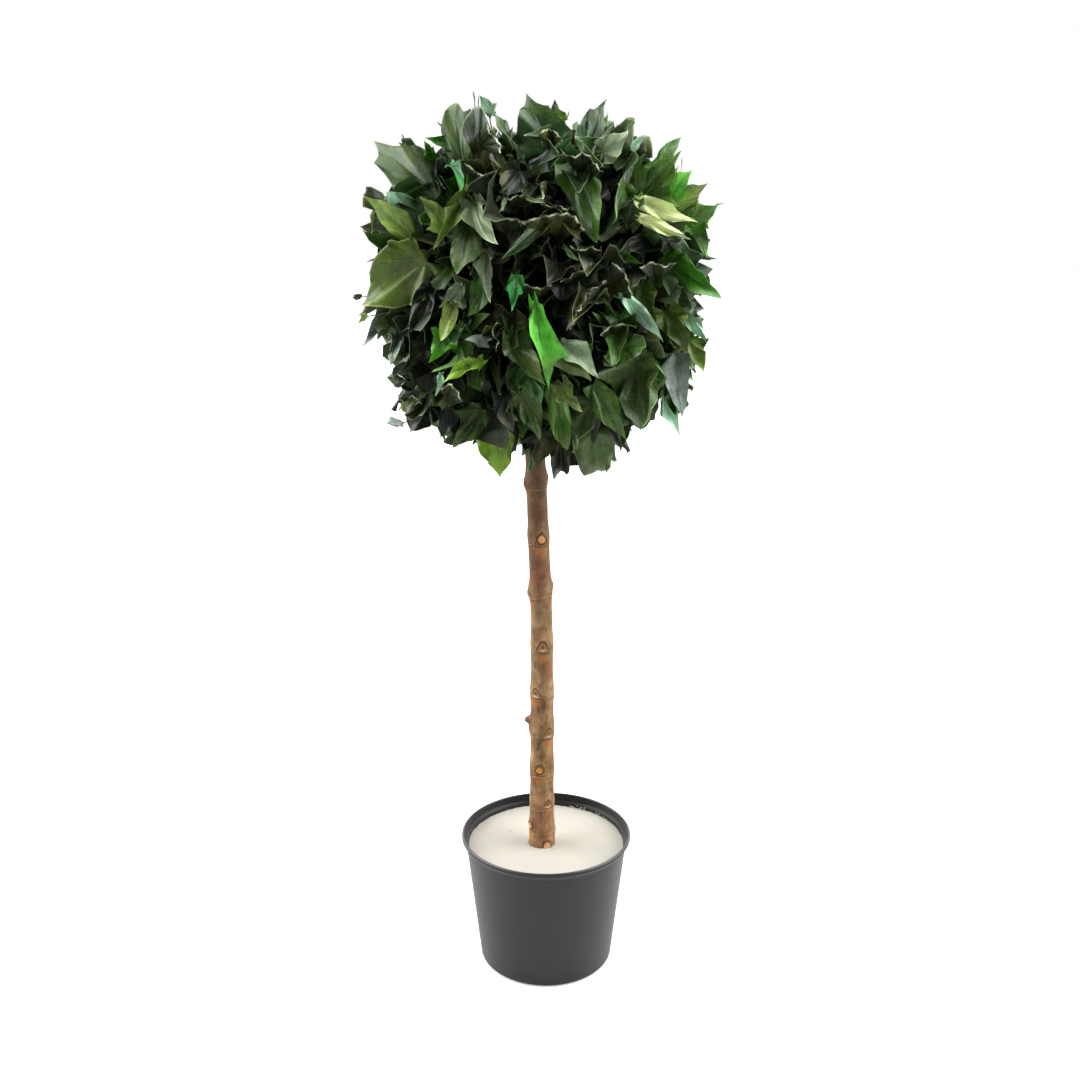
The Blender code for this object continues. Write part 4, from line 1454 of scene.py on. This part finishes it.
class TOPIARY_OT_plaster(bpy.types.Operator):
    """Makes the cast plaster round the trunk's foot"""

    bl_idname = "topiary.plaster"
    bl_label = "Plaster"

    def execute(self, context):
        settings = context.scene.topiary_plaster
        # Casting plaster, poured and trowelled: matt and chalky, cream, with faint stains and pinholes
        material, tree, shader = new_material("casting_plaster", Roughness=0.92)
        place = add(tree, "ShaderNodeTexCoord").outputs["Object"]
        stain = {"Vector": place, "Scale": 30.0, "Detail": 6.0, "Roughness": 0.65}
        colour = patched(tree, linear(settings.colour), stain, 0.50, 0.80, 0.5, "#d3c7ad")
        # Pinholes and grit about a millimetre across
        holes = {"Vector": place, "Scale": 90.0, "Randomness": 1.0}
        grit = add(tree, "ShaderNodeTexVoronoi", holes)
        fade = {"Value": grit, "From Min": 0.03, "From Max": 0.07, "To Min": 0.55, "To Max": 0.0}
        speck = add(tree, "ShaderNodeMapRange", fade)
        specked = {"Factor": speck, "A": colour, "B": linear("#a3927a")}
        feed(shader, {"Base Color": add(tree, "ShaderNodeMix", specked, data_type="RGBA")})
        roughened(tree, shader, place, 420.0, 4.0, 0.35, 0.0005)

        sides, steps = 200, 70
        seat = TRUNK_FOOT - GAP
        top_radius = pot_wall_radius(PLASTER_TOP) - POT_WALL - GAP
        foot_height = POT_FLOOR + GAP
        foot_radius = pot_wall_radius(foot_height) - POT_WALL - GAP - 0.003
        middle = trunk_middle(seat)
        hole = level_ring(middle, TRUNK_FOOT_RADIUS + SEAT_ROOM, sides)
        edge = level_ring((0, 0, seat), top_radius, sides)
        verts = [tuple(middle), *hole]
        for step in range(steps + 1):
            share = (step / steps) ** 1.15
            for inner, outer in zip(hole, edge):
                spot = Vector(inner).lerp(Vector(outer), share)
                spot.z = PLASTER_TOP + plaster_height(spot.x, spot.y, settings.relief)
                verts.append(tuple(spot))
        for height in (PLASTER_TOP - 0.002, 0.12, 0.06, foot_height + 0.002):
            verts += level_ring((0, 0, height), pot_wall_radius(height) - POT_WALL - GAP, sides)
        verts += level_ring((0, 0, foot_height), foot_radius, sides)
        verts.append((0, 0, foot_height))
        plaster = new_object("plaster_cast", verts, tube_faces((len(verts) - 2) // sides, sides), [material])
        turn_outwards(plaster.data)
        belongs(plaster, "plaster_fill")

        # Crumbs along the back right edge, and dark grit in the surface
        grit_material = new_material("dark_grit", Base_Color=linear("#6b5a44"), Roughness=0.9)[0]
        dice = random.Random(7)
        spots = []
        for number in range(CRUMBS):
            turn = math.radians(dice.uniform(*CRUMB_TURNS))
            radius = dice.uniform(*CRUMB_RADII)
            height = PLASTER_TOP + 0.0008 + dice.uniform(0.0, 1.0) ** 2 * 0.004
            away = pot_wall_radius(height) - POT_WALL - radius * 1.02
            spots.append((Vector((away * math.cos(turn), away * math.sin(turn), height)), radius, 0))
        for pixel, radius in GRIT:
            ray = sight(pixel)
            spots.append((CAMERA_PLACE + ray * ((PLASTER_TOP - CAMERA_PLACE.z) / ray.z), radius, 1))
        bm = bmesh.new()
        for spot, radius, finish in spots:
            turned = Matrix.Rotation(dice.uniform(0, math.tau), 4, "Z")
            placed = Matrix.Translation(spot) @ (turned @ Matrix.Diagonal((1, dice.uniform(0.5, 1), 0.7, 1)))
            made = bmesh.ops.create_icosphere(bm, subdivisions=1, radius=radius, matrix=placed)
            for vertex in made["verts"]:
                for face in vertex.link_faces:
                    face.material_index = finish
        crumbs = new_object("plaster_crumbs", [], materials=[material, grit_material], smooth=False)
        bm.to_mesh(crumbs.data)
        bm.free()
        belongs(crumbs, "plaster_fill")
        return {"FINISHED"}


def bump_at(away, wide):
    """A soft hill of height 1 at zero, about as wide as asked."""
    return math.exp(-((away / wide) ** 2))


def bark_relief(height, clock, radius):
    """How far the bark stands out at a height and turn, and its share of each mark in BARK_MARKS."""
    place = Vector((math.cos(clock) * radius, math.sin(clock) * radius, height))
    stretched = Vector((place.x, place.y, height * 0.3))
    ragged = noise.noise(place * 260)
    out = 0.00040 * noise.noise(place * 55) + 0.00012 * noise.noise(stretched * 420)
    rust = scar = pale = crease = tan = 0.0
    out += 0.0014 * bump_at(max(0.0, height - PLASTER_TOP), 0.004) * (0.6 + ragged)
    # Each ring is pale tan along its crest and dark in the groove under it: partly the bark's own colour,
    # partly a painted highlight and painted shade
    for level, rise in GROWTH_RINGS:
        away = height - level - rise * math.cos(clock) - 0.0010 * noise.noise(place * 70)
        if abs(away) > 0.005:
            continue
        broken = min(1.0, max(0.0, 0.55 + 1.6 * noise.noise(place * 120)))
        out += 0.00035 * bump_at(away, 0.0009) - 0.00025 * bump_at(away + 0.0017, 0.0008)
        tan = max(tan, 0.75 * broken * bump_at(away, 0.0008))
        crease = max(crease, 0.42 * bump_at(away + 0.0016, 0.0008))
    for level, degrees, wide, stand, kind in BUD_SCARS:
        up = height - level
        if not -0.034 < up < 0.022:
            continue
        turn = (clock - math.radians(degrees - 90) + math.pi) % math.tau - math.pi
        aside = turn * radius
        if abs(aside) > 0.020:
            continue
        off = math.hypot(aside, up)
        if kind == "stub":
            off = math.hypot(aside, (up - 0.003) * 0.75)
            blunt = bump_at((off / wide) ** 2, 0.9)
            out += stand * blunt + 0.002 * bump_at(math.hypot(aside, up + 0.006), 0.009)
            crease = max(crease, 0.40 * blunt)
            continue
        out += stand * bump_at(off, wide * 1.35)
        # The ridge over the scar, an upturned V, with a dark line under it that is partly painted shade, and
        # the brown skin under it
        top, foot, half, bow = {
            "disc": (2.4, -1.2, 2.1, 1.15),
            "eye": (2.0, -0.9, 1.9, 1.7),
            "cut": (1.5, -0.7, 1.6, 1.6),
            "knot": (1.5, -0.7, 1.6, 1.6),
        }[kind]
        slope = (top - foot) / half
        drop = (top - foot) * wide * (abs(aside) / (half * wide)) ** bow
        ridge = (up - top * wide + drop) / math.hypot(1, slope)
        if up > foot * wide:
            ridge += 0.0012 * ragged
            out += 0.0006 * bump_at(ridge, 0.0010)
            edge = 0.25 if kind in ("cut", "knot") else 0.62
            tan = max(tan, edge * bump_at(ridge, 0.0009) * (0.7 + ragged))
            crease = max(crease, 0.85 * bump_at(ridge + 0.0018, 0.0011))
            if ridge < 0:
                rust = max(rust, 0.45)
        # Below it a level crease and a ragged rusty shield that narrows downwards
        below = -up / wide - 1.75
        crease = max(crease, 0.75 * bump_at(below * wide, 0.0009) * (abs(aside) < 2.1 * wide))
        if below > 0:
            room = 2.5 - 0.50 * below + 0.7 * ragged
            ends = min(1.0, max(0.0, (3.6 - below) / 1.5))
            rust = max(rust, min(1.0, max(0.0, room - abs(aside) / wide)) * ends * (0.9 + 0.5 * ragged))
        if kind == "eye":
            pupil = math.hypot(aside / 0.0015, up / 0.0019)
            out -= 0.0008 * bump_at(pupil, 1.0)
            rust = max(rust, 0.9 * bump_at(pupil, 2.2))
            crease = max(crease, bump_at(pupil, 1.0))
            lid = math.hypot(aside / 0.0042, (up + 0.0052 - 0.03 * abs(aside)) / 0.0015)
            pale = max(pale, 0.85 * bump_at(lid**2, 1.2))
        else:
            disc = min(1.0, max(0.0, (wide - off) / 0.0008 + 0.3 * ragged))
            scar = max(scar, disc * (0.75 if kind == "knot" else 1.0))
            ring = {"disc": bump_at(off - 0.35 * wide, wide * 0.3), "cut": 0.0, "knot": 0.8}[kind]
            pale = max(pale, 0.40 * ring * disc)
            crease = max(crease, 0.45 * bump_at(off, 0.0012), 0.85 * bump_at(off - wide * 1.20, 0.0012))
            out += 0.0005 * bump_at(off - wide * 0.9, 0.0009)
    return out, rust, scar, pale, crease, tan


class TOPIARY_OT_trunk(bpy.types.Operator):
    """Makes the bare trunk with its bark, growth rings and bud scars"""

    bl_idname = "topiary.trunk"
    bl_label = "Trunk"

    def execute(self, context):
        settings = context.scene.topiary_trunk
        # Bark of a young, smooth-barked stem, satin: brown with soft olive and reddish patches and fine grain
        material, tree, shader = new_material("young_bark", Roughness=0.5)
        place = add(tree, "ShaderNodeTexCoord").outputs["Object"]
        stretch = add(tree, "ShaderNodeMapping", {"Vector": place, "Scale": (1.0, 1.0, 0.6)})
        # Clouds of lighter and darker bark about 15 mm wide and 25 mm long
        clouds = {"Vector": stretch, "Scale": 62.0, "Detail": 5.0, "Roughness": 0.6}
        cloud = add(tree, "ShaderNodeTexNoise", clouds)
        colour = add(tree, "ShaderNodeValToRGB", {"Fac": cloud})
        stops = colour.color_ramp.elements
        stops[0].position, stops[0].color = 0.34, linear("#7a5636")
        stops[1].position, stops[1].color = 0.68, linear("#caa478")
        stops.new(0.50).color = linear(settings.colour)
        # Patches about 30 mm across, then small dark ones of about 7 mm and a fine pale grain of about 2 mm
        for scale, source, low, high, most, tone in (
            (34.0, place, 0.50, 0.62, 0.60, "#7b7048"),
            (27.0, place, 0.51, 0.62, 0.56, "#985438"),
            (150.0, stretch, 0.54, 0.66, 0.50, "#4a3120"),
            (420.0, place, 0.64, 0.74, 0.45, "#d0b490"),
        ):
            patches = {"Vector": source, "Scale": scale, "Detail": 3.0}
            colour = patched(tree, colour, patches, low, high, most, tone)
        # The bark darkens and reddens towards the ball
        level = add(tree, "ShaderNodeSeparateXYZ", {"Vector": place}).outputs["Z"]
        rise = {"Value": level, "From Min": 0.52, "From Max": 0.66, "To Max": 0.62}
        high = add(tree, "ShaderNodeMapRange", rise)
        darkened = {"Factor": high, "A": colour, "B": linear("#62452f")}
        colour = add(tree, "ShaderNodeMix", darkened, data_type="RGBA")
        for label in ("rust", "scar", "pale", "tan", "crease"):
            share = add(tree, "ShaderNodeAttribute", attribute_name=label).outputs["Fac"]
            marked = {"Factor": share, "A": colour, "B": linear(BARK_MARKS[label])}
            colour = add(tree, "ShaderNodeMix", marked, data_type="RGBA")
        feed(shader, {"Base Color": colour})
        roughened(tree, shader, stretch, 700.0, 3.0, 0.25, 0.0004)

        hidden = TRUNK_NECK + 0.02
        levels = [TRUNK_FOOT + settings.row * i for i in range(round((hidden - TRUNK_FOOT) / settings.row))]
        levels += [hidden + (TRUNK_TIP - hidden) * i / 40 for i in range(41)]
        sides = settings.sides
        verts = [tuple(trunk_middle(TRUNK_FOOT))]
        shares = [(0,) * len(BARK_MARKS)]
        for height in levels:
            middle, radius = trunk_middle(height), trunk_radius(height)
            for side in range(sides):
                clock = math.tau * side / sides
                out, *marks = bark_relief(height, clock, radius)
                reach = radius - 0.0003 + out
                verts.append((middle.x + reach * math.cos(clock), middle.y + reach * math.sin(clock), height))
                shares.append(marks)
        verts.append(tuple(trunk_middle(TRUNK_TIP)))
        shares.append((0,) * len(BARK_MARKS))
        trunk = new_object("trunk_bark", verts, tube_faces(len(levels), sides), [material])
        for label, values in zip(BARK_MARKS, zip(*shares)):
            attach(trunk.data, label, "FLOAT", values)
        belongs(trunk, "trunk")
        return {"FINISHED"}


class TOPIARY_OT_core(bpy.types.Operator):
    """Makes the dark core that the leaves stand in"""

    bl_idname = "topiary.core"
    bl_label = "Core"

    def execute(self, context):
        settings = context.scene.topiary_ball
        # Dry floral foam under dark moss: matt and nearly black between the leaves
        material, tree, shader = new_material("moss_core", Roughness=1.0)
        place = add(tree, "ShaderNodeTexCoord").outputs["Object"]
        tuft = add(tree, "ShaderNodeTexNoise", {"Vector": place, "Scale": 120.0, "Detail": 4.0})
        tufted = {"Factor": tuft, "A": linear(settings.core_colour), "B": linear("#1d2417")}
        mix = add(tree, "ShaderNodeMix", tufted, data_type="RGBA")
        bump = add(tree, "ShaderNodeBump", {"Height": tuft, "Distance": 0.003})
        feed(shader, {"Base Color": mix, "Normal": bump})
        # A hole for the trunk from just above its tip down to the ball's foot, then the ball up to its top
        room = 0.0022
        above = TRUNK_TIP + 0.001
        rings = []
        steps = 48
        # Degrees from the ball's top down to the hole at its foot
        start = 176
        first = math.radians(start)
        foot_reach = ball_reach(Vector((math.sin(first), 0, math.cos(first))))
        low = BALL_CENTRE.z + math.cos(first) * settings.core_share * foot_reach
        for step in range(13):
            height = above + (low - above) * step / 12
            rings.append((tuple(trunk_middle(height)), trunk_radius(height) + room))
        for step in range(1, steps):
            turn = math.radians(start * (1 - step / steps))
            way = Vector((math.sin(turn), 0, math.cos(turn)))
            reach = settings.core_share * ball_reach(way)
            radius = reach * way.x
            height = BALL_CENTRE.z + reach * way.z
            blend = min(1.0, max(0.0, (radius - 0.016) / 0.05))
            middle = trunk_middle(height).lerp(Vector((BALL_CENTRE.x, BALL_CENTRE.y, height)), blend)
            if radius > 0.020 or way.z > 0:
                rings.append(((middle.x, middle.y, height), radius))
        core = rings_mesh("ball_core", rings, 72, [material])
        belongs(core, "ivy_ball")
        return {"FINISHED"}


class TOPIARY_OT_leaves(bpy.types.Operator):
    """Grows the ivy leaves, one piece for each tint, and the stalks that carry them"""

    bl_idname = "topiary.leaves"
    bl_label = "Leaves"

    def execute(self, context):
        settings = context.scene.topiary_ball
        collection, numbers = leaf_forms()
        by_tint, stalks, curled = all_leaves(numbers)
        tree = leaves_tree()
        for tint, leaves in by_tint.items():
            if not leaves:
                continue
            piece = points_object(f"leaves_{tint}", leaves)
            finishes = dict(zip(LEAF_PARTS, leaf_finishes(tint)))
            grow(piece, tree, {"Forms": collection, "Ripple": settings.ripple, **finishes})
            belongs(piece, "ivy_ball")
        belongs(curled_piece(curled, leaf_finishes("curled")), "ivy_ball")
        # Leaf stalks, dried: thin, round, and yellow-green to brown
        material, tree, shader = new_material("dried_stalk", Roughness=0.6)
        place = add(tree, "ShaderNodeTexCoord").outputs["Object"]
        tone = add(tree, "ShaderNodeTexNoise", {"Vector": place, "Scale": 30.0})
        dried = {"Factor": tone, "A": linear("#4a4a2c"), "B": linear("#8f9160")}
        feed(shader, {"Base Color": add(tree, "ShaderNodeMix", dried, data_type="RGBA")})
        dice = random.Random(SEED + 1)
        paths = []
        for root, along in stalks:
            inward = (root - BALL_CENTRE).normalized()
            foot = BALL_CENTRE + inward * ball_reach(inward) * (settings.core_share - 0.04)
            foot += Vector([dice.uniform(-0.01, 0.01) for axis in range(3)])
            stray = Vector([dice.uniform(-0.004, 0.004) for axis in range(3)])
            bend = (foot + root) / 2 - along * 0.004 + stray
            end = root + along * 0.002
            path = []
            for step in range(6):
                share = step / 5
                spot = foot * (1 - share) ** 2 + bend * 2 * share * (1 - share) + end * share**2
                path.append((spot, settings.stalk_radius * (1.1 - 0.3 * share)))
            paths.append(path)
        for foot, tip, radius in SPIKES:
            start, end = on_ball(foot, 0.90), on_ball(tip, 1.02)
            side = Vector([dice.uniform(-0.002, 0.002) for axis in range(3)])
            path = []
            for share, thick in SPIKE_SHAPE:
                spot = start.lerp(end, share) + side * math.sin(math.pi * share)
                path.append((spot, radius / 1000 * thick))
            paths.append(path)
        piece = paths_object("leaf_stalks", paths)
        grow(piece, stalks_tree(), {"Sides": 5, "Stalk": material})
        belongs(piece, "ivy_ball")
        return {"FINISHED"}


class TOPIARY_PT_panel(bpy.types.Panel):
    """Lists the operators of the topiary"""

    bl_label = "Topiary"
    bl_idname = "TOPIARY_PT_panel"
    bl_space_type = "VIEW_3D"
    bl_region_type = "UI"
    bl_category = "Topiary"

    def draw(self, context):
        for operator in OPERATORS:
            self.layout.operator(operator.bl_idname)


SETTINGS = {
    "topiary_stage": StageSettings,
    "topiary_pot": PotSettings,
    "topiary_plaster": PlasterSettings,
    "topiary_trunk": TrunkSettings,
    "topiary_ball": BallSettings,
}
OPERATORS = [
    TOPIARY_OT_stage,
    TOPIARY_OT_pot,
    TOPIARY_OT_plaster,
    TOPIARY_OT_trunk,
    TOPIARY_OT_core,
    TOPIARY_OT_leaves,
]


def register():
    """Registers the settings, the operators and the panel."""
    for group in [*SETTINGS.values(), *OPERATORS, TOPIARY_PT_panel]:
        bpy.utils.register_class(group)
    for name, group in SETTINGS.items():
        setattr(bpy.types.Scene, name, bpy.props.PointerProperty(type=group))


def unregister():
    """Undoes what register does."""
    for name in SETTINGS:
        delattr(bpy.types.Scene, name)
    for group in reversed([*SETTINGS.values(), *OPERATORS, TOPIARY_PT_panel]):
        bpy.utils.unregister_class(group)


def main():
    """Makes the whole scene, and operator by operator."""
    register()
    for operator in OPERATORS:
        family, name = operator.bl_idname.split(".")
        getattr(getattr(bpy.ops, family), name)()


if __name__ == "__main__":
    main()
